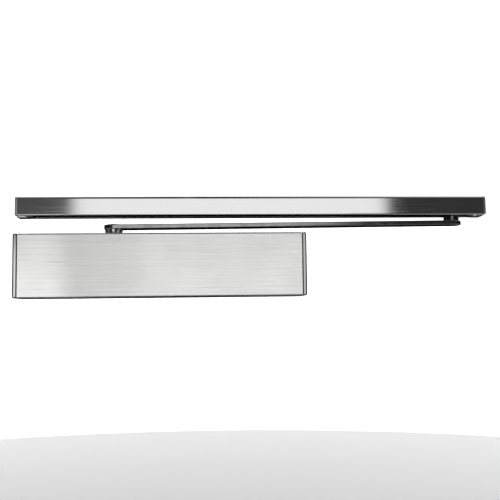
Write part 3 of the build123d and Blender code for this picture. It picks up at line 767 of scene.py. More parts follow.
def cross_recess(size: float, depth: float, top: Vector, axis: Plane, sink: int) -> Workpiece:
    """Cross recess cutter.

    Args:
        size: length of each wing.
        depth: depth of the recess.
        top: centre of the face that it sinks from.
        axis: plane of that face.
        sink: +1 or -1, the way it sinks along the axis.

    Returns:
        The cutter.
    """
    low, high = sorted((-sink * PAST, sink * depth))
    wing = size * 0.2
    tool = Workpiece.prism("wing", rectangle(size, wing), axis, low, high)
    tool.weld(Workpiece.prism("wing", rectangle(wing, size), axis, low, high))
    return tool.moved(Matrix.Translation(top))


def countersunk_screw(
    name: str, head_r: float, shank_r: float, length: float, top: Vector, axis: Plane, sink: int
) -> Workpiece:
    """Countersunk screw with a cross recess and a turned thread.

    Args:
        name: the piece's name.
        head_r: radius of the head at its top.
        shank_r: radius over the thread.
        length: whole length.
        top: centre of the head's top.
        axis: plane across the screw.
        sink: +1 or -1, the way the screw points along its axis.

    Returns:
        The screw.
    """
    pitch, root_r, point_r = 0.5, shank_r - 0.25, shank_r * 0.6
    rim_r, rim_height = head_r - 0.15, 0.12
    head = head_r - shank_r
    profile: list[Point] = [(0.0, 0.0), (rim_r, 0.0), (head_r, rim_height), (shank_r, head)]
    depth = head + pitch
    while depth < length - 2 * pitch:
        profile += [(root_r, depth), (shank_r, depth + pitch / 2)]
        depth += pitch
    profile += [(point_r, length), (0.0, length)]
    placed = [(radius, sink * height) for radius, height in profile]
    screw = Workpiece.turned(name, placed, top, axis, 40)
    return screw.cut(cross_recess(head_r * 1.15, head_r * 0.55, top, axis, sink))


# ------------------------------------------------------------------ closer body
@dataclass
class CloserCase:
    """Cover, end caps, back plate and their small fastenings."""

    sheet: float = 1.2
    bend_radius: float = 1.6
    hole_radius: float = 11.0
    cap_edge: float = 1.5
    seam: float = 0.65
    seam_gap: float = 0.5
    plate_thick: float = 3.0
    tab_thick: float = 2.0
    body: str = "closer_body"
    cover_box: Box = field(default_factory=lambda: Box.of("body_cover"))
    plate_box: Box = field(default_factory=lambda: Box.of("mounting_plate"))

    def build(self) -> None:
        """Make every piece of the case."""
        self.cover()
        self.end_caps()
        self.cap_screws()
        self.back_plate()
        self.hole_plug()

    def cover(self) -> None:
        """Bent sheet cover with its two spindle holes."""
        low, high = self.cover_box.low, self.cover_box.high
        inner = self.sheet
        corners = [
            (0.0, low.z, 0.3),
            (low.y, low.z, self.bend_radius),
            (low.y, high.z, self.bend_radius),
            (0.0, high.z, 0.3),
            (0.0, high.z - inner, 0.3),
            (low.y + inner, high.z - inner, self.bend_radius - inner),
            (low.y + inner, low.z + inner, self.bend_radius - inner),
            (0.0, low.z + inner, 0.3),
        ]
        start, end = low.x + self.seam_gap, high.x - self.seam_gap
        cover = Workpiece.prism("cover_shell", rounded(corners, 8), Plane.YZ, start, end)
        spindle = joint_place("spindle_turn")
        below = (spindle.x, spindle.y, low.z - 2 * PAST)
        cover.cut(Workpiece.drill(self.hole_radius, below, high.z - low.z + 4 * PAST, Plane.XY, 72))
        cover.soften(0.12, 2)
        shell = cover.set_down("satin_stainless", self.body, ["body_cover"])
        shell.data.materials.append(FINISHES["satin_top"].material())
        for polygon in shell.data.polygons:
            level = abs(polygon.normal.z) > 0.8
            polygon.material_index = int(level)

    def end_caps(self) -> None:
        """Left and right cap: rounded plate, locating rim and screw hole; the faces by the seam get black plastic
        as painted shade.
        """
        box = Box.of("cover_end_cap_right")
        inner = self.cover_box.high.x + 0.1
        low, high = self.cover_box.low, self.cover_box.high
        corners = [
            (0.0, low.z, 0.0),
            (low.y, low.z, self.bend_radius),
            (low.y, high.z, self.bend_radius),
            (0.0, high.z, 0.0),
        ]
        plate = Workpiece.prism("cap", rounded(corners, 8), Plane.YZ, inner, box.high.x)
        plate.round(self.cap_edge, front_edge_at(box.high.x), 6)
        plate.round(self.seam, front_edge_at(inner), 4)
        rim_gap = self.sheet + 0.1
        cap = plate.weld(self._rim(box.low.x, inner + 0.5, low.y + rim_gap, high.z - rim_gap))
        screw_y = Box.of("end_cap_screws").middle.y
        shank_r, head_r, deep, proud = 1.7, 3.5, 12.0, 2.0
        hole = [
            (0.0, -deep), (shank_r, -deep), (shank_r, -shank_r), (head_r, 0.1), (head_r, proud), (0.0, proud),
        ]
        cap.cut(Workpiece.turned("sink", hole, (box.high.x, screw_y, 0), Plane.YZ, 48))
        cap.soften(0.15, 2)
        for name, piece in (("left", cap.mirrored(0.0)), ("right", cap)):
            piece.object.name = f"end_cap_{name}"
            plated = piece.set_down("end_cap_metal", self.body, [f"cover_end_cap_{name}"])
            # Painted shade: the cap's faces by the seam, its rounding and the rim inside the cover get black
            # plastic so that the gap line between cover and cap renders dark.
            plated.data.materials.append(FINISHES["black_plastic"].material())
            for polygon in plated.data.polygons:
                shadowed = abs(polygon.center.x) < (inner + self.seam + 0.02) * MM
                polygon.material_index = int(shadowed)

    @staticmethod
    def _rim(start: float, end: float, front: float, half_height: float) -> Workpiece:
        """Hollow rectangular rim that locates a cap inside the cover.

        Args:
            start: x where the rim begins.
            end: x where it ends, inside the cap.
            front: y of its front wall.
            half_height: height above and below the closer's middle.

        Returns:
            The rim.
        """
        wall, back = 1.4, -4.0
        rim = Workpiece.block("rim", (start, front, -half_height), (end, back, half_height))
        clear = half_height - wall
        low, high = (start - PAST, front + wall, -clear), (end + PAST, back - wall, clear)
        return rim.cut(Workpiece.block("hollow", low, high))

    def cap_screws(self) -> None:
        """Countersunk screw through each cap into the plate's tab."""
        box = Box.of("end_cap_screws")
        top = Vector((box.high.x, box.middle.y, 0))
        head_r, shank_r, length = 3.2, 1.48, 10.9
        screw = countersunk_screw("cap_screws", head_r, shank_r, length, top, Plane.YZ, -1)
        screw.group(screw.mirrored(0.0))
        screw.set_down("end_cap_metal", self.body, ["end_cap_screws"])

    def back_plate(self) -> None:
        """Back plate with countersunk door holes, tapped holes and end tabs."""
        box = self.plate_box
        corner_r = 3.0
        corners = [(x, z, corner_r) for x, z in rectangle(box.size.x, box.size.z)]
        plate = Workpiece.prism("back_plate", rounded(corners), Plane.XZ, -self.plate_thick, 0.0)
        for side in (-1, 1):
            self._add_tab(plate, side, corner_r)
        mounts = frame["record"]["mounts"]
        pattern = next(mount for mount in mounts if mount["name"] == "door_screws")["dims"]
        self._sink_door_holes(plate, pattern)
        screws = Box.of("housing_screws")
        head_r, tapped_r = 4.1, 2.5
        for x in (screws.low.x + head_r, screws.high.x - head_r):
            for z in (screws.low.z + head_r, screws.high.z - head_r):
                through = -self.plate_thick - 2 * PAST
                plate.cut(Workpiece.drill(tapped_r, (x, PAST, z), through, Plane.XZ, 40))
        plate.soften(0.3, 2)
        plate.set_down("zinc_plate", self.body, ["mounting_plate"])

    def _add_tab(self, plate: Workpiece, side: int, corner_r: float) -> None:
        """Bent tab at one end of the plate, with the tapped hole of a cap screw.

        Args:
            plate: the plate, which is changed.
            side: -1 for the left end, +1 for the right.
            corner_r: radius of the tab's two front corners.
        """
        front, end = self.plate_box.low.y, self.plate_box.high.x
        half_height, root, hole_r, hole_y = 14.0, -1.0, 1.5, -10.0
        low_x, high_x = sorted((side * end, side * (end - self.tab_thick)))
        outline = [
            (front, -half_height, corner_r), (root, -half_height, 0),
            (root, half_height, 0), (front, half_height, corner_r),
        ]
        plate.weld(Workpiece.prism("tab", rounded(outline, 5), Plane.YZ, low_x, high_x))
        through = self.tab_thick + 2 * PAST
        plate.cut(Workpiece.drill(hole_r, (low_x - PAST, hole_y, 0), through, Plane.YZ, 32))

    def _sink_door_holes(self, plate: Workpiece, pattern: dict[str, float]) -> None:
        """Countersunk holes for the screws into the door.

        Args:
            plate: the plate, which is changed.
            pattern: the mount's spacing and hole radius.
        """
        hole, flare = pattern["hole_r_mm"], 3.4
        front = -self.plate_thick - PAST
        sink = [(0.0, front), (hole + flare, front), (hole, -PAST), (hole, PAST), (0.0, PAST)]
        for x, z in rectangle(pattern["spacing_x_mm"], pattern["spacing_y_mm"]):
            plate.cut(Workpiece.turned("sink", sink, (x, 0, z), Plane.XZ, 48))

    def hole_plug(self) -> None:
        """Snap-in plug in the cover's unused hole, with a shallow dished face."""
        box = Box.of("spindle_hole_plug")
        radius = box.size.x / 2
        height = box.size.z
        flange, web = 1.2, 1.0
        skirt_outer, skirt_inner = radius - 1.3, radius - 2.5
        profile = [
            (0.0, 0.35), (radius - 2.4, 0.3), (radius - 1.6, 0.0), (radius - 0.4, 0.0), (radius, 0.4),
            (radius, flange), (skirt_outer, flange), (skirt_outer, height), (skirt_inner, height),
            (skirt_inner, web), (0.0, web),
        ]
        centre = (box.middle.x, box.middle.y, box.low.z)
        plug = Workpiece.turned("hole_plug", profile, centre, Plane.XY, 64)
        plug.set_down("black_plastic", self.body, ["spindle_hole_plug"])


# ------------------------------------------------------------------ arm
@dataclass
class SlideArm:
    """Flat arm, its hub on the spindle and the pin at its far end."""

    thick: float = 4.6
    end_radius: float = 10.0
    level: float = 14.0
    bend: float = 5.0
    collar: float = 5.2
    body: str = "slide_arm"
    near: Vector = field(default_factory=lambda: joint_place("spindle_turn"))
    far: Vector = field(default_factory=lambda: joint_place("slider_swivel"))
    arm_box: Box = field(default_factory=lambda: Box.of("main_arm"))

    def build(self) -> None:
        """Make every piece of the arm."""
        self.bar()
        self.hub()
        self.hub_screw()
        self.pin()
        self.ring()

    @property
    def span(self) -> float:
        """Distance between the two eyes in plan."""
        return (self.far - self.near).to_2d().length

    @property
    def rise(self) -> float:
        """How much higher the far eye lies."""
        return self.arm_box.size.z - self.thick

    def _plan(self) -> list[Point]:
        """Plan outline: a straight flat bar with a half-round end at each pivot."""
        steps = 32
        points: list[Point] = []
        for centre, start in ((0.0, math.pi / 2), (self.span, -math.pi / 2)):
            for step in range(steps + 1):
                angle = start + math.pi * step / steps
                points.append((centre + self.end_radius * math.cos(angle), self.end_radius * math.sin(angle)))
        return points

    def bar(self) -> None:
        """The flat arm: plan outline, slope between two level ends, eased edges."""
        base = self.arm_box.low.z
        bar = Workpiece.prism("flat_arm", self._plan(), Plane.XY, base, base + self.thick)
        shape = bmesh.new()
        shape.from_mesh(bar.object.data)
        slope_start, slope_end = self.level - self.bend / 2, self.span - self.level + self.bend / 2
        bend_steps, bar_steps = 4, 12
        cuts = [slope_start + self.bend * k / bend_steps for k in range(bend_steps + 1)]
        cuts += [slope_end - self.bend * k / bend_steps for k in range(bend_steps + 1)]
        cuts += [self.span * k / bar_steps for k in range(1, bar_steps)]
        for place in cuts:
            everything = shape.verts[:] + shape.edges[:] + shape.faces[:]
            bmesh.ops.bisect_plane(shape, geom=everything, plane_co=(place, 0, 0), plane_no=(1, 0, 0))
        for vertex in shape.verts:
            vertex.co.z += self.rise * self._slope(vertex.co.x)
        shape.to_mesh(bar.object.data)
        shape.free()
        bar.soften(0.7, 4, 40.0)
        hub_hole, pin_hole = 6.92, 4.52
        below, through = base - 2 * PAST, self.thick + 4 * PAST
        bar.cut(Workpiece.drill(hub_hole, (0, 0, below), through, Plane.XY, 64))
        bar.cut(Workpiece.drill(pin_hole, (self.span, 0, below + self.rise), through, Plane.XY))
        direction = (self.far - self.near).to_2d()
        turn = math.atan2(direction.y, direction.x)
        bar.moved(Matrix.Translation((self.near.x, self.near.y, 0)) @ Matrix.Rotation(turn, 4, "Z"))
        bar.set_down("arm_steel", self.body, ["main_arm"])

    def _slope(self, x: float) -> float:
        """Share of the rise reached at x along the arm, from 0 to 1."""
        length = self.span - 2 * self.level
        position = x - self.level
        return (self._ramp(position) - self._ramp(position - length)) / length

    def _ramp(self, distance: float) -> float:
        """Ramp that starts at distance 0 with a short parabola."""
        if abs(distance) < self.bend / 2:
            return (distance + self.bend / 2) ** 2 / (2 * self.bend)
        return max(0.0, distance)

    def hub(self) -> None:
        """Turned hub with its cone, riveted rim and countersink."""
        box = Box.of("arm_hub")
        base = self.arm_box.low.z
        top = box.size.z
        step = base - box.low.z
        rim_r, foot_r, spigot_r, bore_r, well_r = box.size.x / 2, 8.5, 6.9, 3.1, 4.2
        square, square_depth = 9.1, 6.6
        sink_r = bore_r + 2.7
        profile = [
            (foot_r - 0.3, 0.0), (foot_r, 0.25), (rim_r - 0.05, step - 0.3), (rim_r - 0.3, step),
            (spigot_r, step), (spigot_r, top - 0.9), (spigot_r + 0.35, top - 0.45), (spigot_r + 0.15, top),
            (sink_r, top), (bore_r, top - 2.7), (bore_r, square_depth), (well_r, square_depth), (well_r, 0.0),
        ]
        foot = Vector((self.near.x, self.near.y, box.low.z))
        hub = Workpiece.turned("hub", profile, foot, Plane.XY, 96)
        socket = Workpiece.prism("square", rectangle(square, square), Plane.XY, -PAST, square_depth)
        hub.cut(socket.moved(Matrix.Translation(foot)))
        hub.set_down("dark_steel", self.body, ["arm_hub"])

    def hub_screw(self) -> None:
        """Countersunk socket screw that holds the arm on the spindle."""
        box = Box.of("arm_fixing_screw")
        length = box.size.z
        head_r, shank_r, root_r, point_r, pitch = 5.5, 3.0, 2.6, 2.2, 1.0
        profile: list[Point] = [(0.0, 0.0), (head_r - 0.2, 0.0), (head_r, -0.25), (shank_r, -2.6)]
        depth = 4 * pitch
        while depth < length - 1.5 * pitch:
            profile += [(root_r, -depth), (shank_r - 0.02, -depth - pitch / 2)]
            depth += pitch
        profile += [(point_r, -length), (0.0, -length)]
        top = Vector((self.near.x, self.near.y, box.high.z))
        screw = Workpiece.turned("hub_screw", profile, top, Plane.XY, 64)
        screw.cut(hex_socket(4.0, 2.4, top))
        screw.soften(0.1, 1, 50)
        screw.set_down("dark_steel", self.body, ["arm_fixing_screw"])

    def pin(self) -> None:
        """Shouldered pin: peened foot, polished collar, grooved top."""
        box = Box.of("slider_pin")
        arm_top = self.arm_box.high.z - box.low.z
        collar_top = arm_top + self.collar
        groove = Box.of("pin_circlip").low.z - 0.1 - box.low.z
        groove_end = groove + 1.1
        top = box.size.z
        foot_r, collar_r, pin_r, groove_r, ease = 4.5, 8.0, 4.0, 3.4, 0.3
        profile = [
            (0.0, 0.25), (3.2, 0.12), (foot_r - 0.2, 0.0), (foot_r, ease), (foot_r, arm_top),
            (collar_r - ease, arm_top + 0.05), (collar_r, arm_top + 0.35), (collar_r, collar_top - ease),
            (collar_r - ease, collar_top), (pin_r, collar_top), (pin_r, groove), (groove_r, groove),
            (groove_r, groove_end), (pin_r, groove_end), (pin_r, top - 0.5), (pin_r - 0.5, top), (0.0, top),
        ]
        foot = (self.far.x, self.far.y, box.low.z)
        pin = Workpiece.turned("slider_pin_turned", profile, foot, Plane.XY, 80)
        pin.set_down("dark_steel", self.body, ["slider_pin"], finish="blackened_steel")

    def ring(self) -> None:
        """Open retaining ring with its two eyed lugs."""
        box = Box.of("pin_circlip")
        x, y, low, high = self.far.x, self.far.y, box.low.z, box.high.z
        outer, inner, half_gap, eye_r = 6.0, 3.42, 1.4, 0.6
        eye_x, eye_y = 4.4, 2.5
        profile = [(inner, 0.0), (outer, 0.0), (outer, high - low), (inner, high - low)]
        ring = Workpiece.turned("retaining_ring", profile, (x, y, low), Plane.XY, 64)
        gap_low, gap_high = (x, y - half_gap, low - PAST), (x + outer + 2 * PAST, y + half_gap, high + PAST)
        ring.cut(Workpiece.block("gap", gap_low, gap_high))
        for side in (-1, 1):
            ring.cut(Workpiece.drill(eye_r, (x + eye_x, y + side * eye_y, low - PAST), 3.0, Plane.XY, 24))
        ring.soften(0.08, 1, 50)
        ring.set_down("hardened_steel", self.body, ["pin_circlip"])


# ------------------------------------------------------------------ rail
@dataclass
class GuideRail:
    """Channel, sheet cover, end caps, buffers and the slide block."""

    sheet: float = 1.0
    top_radius: float = 2.7
    low_radius: float = 1.2
    lip: float = 7.5
    wall: float = 2.6
    floor: float = 2.4
    roof: float = 3.1
    slot_width: float = 12.0
    cap_edge: float = 1.0
    body: str = "guide_track"
    cover_box: Box = field(default_factory=lambda: Box.of("track_cover"))
    rail_box: Box = field(default_factory=lambda: Box.of("track_rail"))
    slot_y: float = field(default_factory=lambda: joint_place("slider_swivel").y)

    def build(self) -> None:
        """Make every piece of the rail."""
        self.channel()
        self.cover()
        self.end_caps()
        self.cap_screws()
        self.buffers()
        self.block()

    @property
    def cavity(self) -> tuple[float, float, float, float]:
        """Front, back, low and high of the channel's inside."""
        low, high = self.rail_box.low, self.rail_box.high
        return (low.y + self.wall - 0.2, -self.wall, self.step + self.floor, high.z - self.roof)

    @property
    def step(self) -> float:
        """Height of the step that the sheet's lower lip lies in."""
        return self.cover_box.low.z + self.sheet + 0.1

    def channel(self) -> None:
        """Extruded channel with its slot, rounded runners and screw holes."""
        low, high = self.rail_box.low, self.rail_box.high
        front, back, inner_low, inner_high = self.cavity
        slot_front, slot_back = self.slot_y - self.slot_width / 2, self.slot_y + self.slot_width / 2
        small = 0.4
        lip_y = self.cover_box.low.y + self.lip + 0.1
        corners = [
            (low.y, self.step, small), (low.y, high.z, 1.0), (high.y, high.z, 0.3), (high.y, low.z, 0.3),
            (slot_back, low.z, small), (slot_back, inner_low, small), (back, inner_low, small),
            (back, inner_high, 0.8), (front, inner_high, 0.8), (front, inner_low, small),
            (slot_front, inner_low, small), (slot_front, low.z, small),
            (lip_y, low.z, 0.2), (lip_y, self.step, 0.2),
        ]
        channel = Workpiece.prism("rail_channel", rounded(corners, 4), Plane.YZ, low.x, high.x)
        access_r, through = 5.0, self.wall + 2 * PAST
        for mount in frame["record"]["mounts"]:
            if not mount["name"].startswith("frame_screws"):
                continue
            centre = Vector(mount["pos_m"]) / MM
            hole, spacing = mount["dims"]["hole_r_mm"], mount["dims"]["spacing_x_mm"]
            for side in (-1, 1):
                x = centre.x + side * spacing / 2
                channel.cut(Workpiece.drill(hole, (x, PAST, centre.z), -through, Plane.XZ, 40))
                channel.cut(Workpiece.drill(access_r, (x, low.y - PAST, centre.z), through, Plane.XZ, 40))
        channel.soften(0.15, 1, 50)
        channel.set_down("rail_aluminium", self.body, ["track_rail"])

    def cover(self) -> None:
        """Polished sheet cover round the top, front and lower lip."""
        low, high = self.cover_box.low, self.cover_box.high
        inner = self.sheet
        corners = [
            (low.y, low.z, self.low_radius), (low.y, high.z, self.top_radius), (0.0, high.z, 0.3),
            (0.0, high.z - inner, 0.3), (low.y + inner, high.z - inner, self.top_radius - inner),
            (low.y + inner, low.z + inner, self.low_radius - inner), (low.y + self.lip, low.z + inner, 0.3),
            (low.y + self.lip, low.z, 0.3),
        ]
        cover = Workpiece.prism("rail_cover", rounded(corners, 8), Plane.YZ, low.x, high.x)
        cover.soften(0.12, 1, 50)
        cover.set_down("polished_stainless", self.body, ["track_cover"])

    def end_caps(self) -> None:
        """Cap at each end: rounded plate, spigot in the channel, round-ended tongue."""
        box = Box.of("track_end_cap_right")
        inner_x = self.cover_box.high.x + 0.05
        low, high = self.cover_box.low, self.cover_box.high
        corners = [
            (0.0, low.z, 0.0), (low.y, low.z, self.low_radius),
            (low.y, high.z, self.top_radius), (0.0, high.z, 0.0),
        ]
        plate = Workpiece.prism("rail_cap", rounded(corners, 8), Plane.YZ, inner_x, box.high.x)
        plate.round(self.cap_edge, front_edge_at(box.high.x), 5)
        front, back, inner_low, inner_high = self.cavity
        gap, spigot = 0.3, 8.0
        start, end = inner_x - spigot, inner_x + 0.5
        spigot_low = (start, front + gap, inner_low + gap)
        spigot_high = (end, back - gap, inner_high - gap)
        plate.weld(Workpiece.block("spigot", spigot_low, spigot_high))
        reach = self.slot_width / 2 - gap
        throat_low = (start, self.slot_y - reach, low.z - gap)
        throat_high = (end, self.slot_y + reach, inner_low + PAST)
        plate.weld(Workpiece.block("throat", throat_low, throat_high))
        self._add_tongue(plate, box)
        top = Vector((inner_x - spigot / 2, self.slot_y, box.low.z))
        head_r, shank_r, deep = 3.0, 1.5, 9.0
        sink = [
            (0.0, -PAST), (head_r, -PAST), (head_r, 0.0), (shank_r, head_r - shank_r), (shank_r, deep),
            (0.0, deep),
        ]
        plate.cut(Workpiece.turned("sink", sink, top, Plane.XY, 48))
        plate.soften(0.15, 2)
        middle = self.rail_box.middle.x
        for name, piece in (("left", plate.mirrored(middle)), ("right", plate)):
            piece.object.name = f"rail_cap_{name}"
            piece.set_down("satin_nickel", self.body, [f"track_end_cap_{name}"])

    def _add_tongue(self, plate: Workpiece, box: Box) -> None:
        """Round-ended tongue under a cap, which covers the slot's end.

        Args:
            plate: the right-hand cap, which is changed.
            box: box of the cap's node.
        """
        radius, inset = 8.0, 1.2
        near, far = self.slot_y - radius, self.slot_y + radius
        root, tip = box.high.x - inset, box.low.x
        corners = [
            (root, near, 0.0), (root, far, 0.0), (tip, far, radius - 0.05), (tip, near, radius - 0.05),
        ]
        top = self.cover_box.low.z + 0.01
        plate.weld(Workpiece.prism("tongue", rounded(corners, 16), Plane.XY, box.low.z, top))

    def cap_screws(self) -> None:
        """Countersunk screw up through each tongue."""
        box = Box.of("track_cap_screws")
        head_r, shank_r = 2.8, 1.48
        top = Vector((box.high.x - head_r, self.slot_y, box.low.z))
        screw = countersunk_screw("rail_cap_screws", head_r, shank_r, box.size.z, top, Plane.XY, 1)
        screw.group(screw.mirrored(self.rail_box.middle.x))
        screw.set_down("satin_nickel", self.body, ["track_cap_screws"])

    def buffers(self) -> None:
        """Rubber stops, ribbed on the face that the block meets."""
        box = Box.of("track_buffers")
        length, corner_r, pitch, half_groove, groove_depth = 4.0, 1.5, 4.0, 0.6, 0.8
        face = box.high.x - length
        corners = [
            (box.low.y, box.low.z, corner_r), (box.high.y, box.low.z, corner_r),
            (box.high.y, box.high.z, corner_r), (box.low.y, box.high.z, corner_r),
        ]
        buffer = Workpiece.prism("rail_buffers", rounded(corners, 5), Plane.YZ, face, box.high.x)
        for count in range(-2, 3):
            y = box.middle.y + pitch * count
            low = (face - PAST, y - half_groove, box.low.z - PAST)
            high = (face + groove_depth, y + half_groove, box.high.z + PAST)
            buffer.cut(Workpiece.block("groove", low, high))
        buffer.soften(0.2, 2)
        buffer.group(buffer.mirrored(self.rail_box.middle.x))
        buffer.set_down("seal_rubber", self.body, ["track_buffers"])

    def block(self) -> None:
        """Nylon slide block with eased ends, grease grooves and a ring pocket."""
        box = Box.of("slide_block")
        centre = joint_place("slider_swivel")
        end_r, bore_r, pocket_r, groove_place, groove = 2.0, 4.05, 7.0, 9.0, 0.5
        corners = [
            (box.low.x, box.low.y, end_r), (box.high.x, box.low.y, end_r),
            (box.high.x, box.high.y, end_r), (box.low.x, box.high.y, end_r),
        ]
        block = Workpiece.prism("slide_shoe", rounded(corners), Plane.XY, box.low.z, box.high.z)
        below = (centre.x, centre.y, box.low.z - PAST)
        block.cut(Workpiece.drill(bore_r, below, box.size.z + 2 * PAST, Plane.XY))
        pocket = Box.of("pin_circlip").low.z - 0.4
        block.cut(Workpiece.drill(pocket_r, (centre.x, centre.y, pocket), 10.0, Plane.XY))
        for side in (-1, 1):
            x = centre.x + side * groove_place
            low = (x - groove, box.low.y - PAST, box.low.z - PAST)
            high = (x + groove, box.high.y + PAST, box.low.z + groove)
            block.cut(Workpiece.block("groove", low, high))
        block.soften(0.3, 2)
        block.set_down("sliding_nylon", "slider", ["slide_block"])


# ------------------------------------------------------------------ mechanism
@dataclass
class Mechanism:
    """Closing spring, and the finish of every CAD piece that stays."""

    turns: float = 9.0
    ground: float = 0.75
    closed: float = 0.06
    wire_r: float = 2.6
    travel: float = 28.3
    body: str = "closer_body"

    def build(self) -> None:
        """Dress the CAD pieces that stay, and wind the spring."""
        self.dress_nodes()
        self.spring()

    @staticmethod
    def dress_nodes() -> None:
        """Give each CAD node the finish of its slot."""
        slots = {part["node"]: part["material_slot"] for part in frame["record"]["subparts"]}
        for name, node in frame["nodes"].items():
            node.data.materials.clear()
            node.data.materials.append(FINISHES[slots[name]].material())

    def spring(self) -> None:
        """Compression spring with closed end coils."""
        box = Box.of("main_spring")
        radius = box.size.z / 2 - self.wire_r
        start, end = box.low.x + self.wire_r, box.high.x - self.wire_r
        around, sides = 36, 14
        total = self.turns + 2 * self.ground
        steps = int(total * around)
        shape = bmesh.new()
        rings = []
        for step in range(steps + 1):
            turn = total * step / steps
            x = start + (end - start) * self._advance(turn, total)
            angle = 2 * math.pi * turn
            spoke = Vector((0, math.cos(angle), math.sin(angle)))
            centre = Vector((x, box.middle.y, box.middle.z)) + spoke * radius
            along = Vector((1, 0, 0))
            tilts = [2 * math.pi * side / sides for side in range(sides)]
            wire = [math.cos(tilt) * spoke + math.sin(tilt) * along for tilt in tilts]
            rings.append([shape.verts.new(centre + self.wire_r * offset) for offset in wire])
        for first, second in zip(rings, rings[1:]):
            for side in range(sides):
                after = (side + 1) % sides
                shape.faces.new((first[side], first[after], second[after], second[side]))
        shape.faces.new(rings[0])
        shape.faces.new(rings[-1])
        bmesh.ops.recalc_face_normals(shape, faces=shape.faces)
        spring = Workpiece("closing_spring", shape).set_down("spring_steel", self.body, ["main_spring"])
        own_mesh(spring)

    def _advance(self, turn: float, total: float) -> float:
        """Share of the spring's length reached, which grows slowly in the closed end coils.

        Args:
            turn: turns from the spring's start.
            total: turns in the whole spring.

        Returns:
            The share, from 0 to 1.
        """
        if turn < self.ground:
            return self.closed * turn / self.ground
        if turn > total - self.ground:
            return 1 - self.closed * (total - turn) / self.ground
        open_share = (turn - self.ground) / (total - 2 * self.ground)
        return self.closed + (1 - 2 * self.closed) * open_share


# ------------------------------------------------------------------ studio
@dataclass(frozen=True)
class Panel:
    """Soft-edged light or dark panel of the studio.

    Places and sizes are angles in degrees: azimuth from straight in front towards the right,
    elevation above the horizon. Later panels lie over earlier ones.
    """

    azimuth: float
    elevation: float
    half_width: float
    half_height: float
    soft: float
    level: float


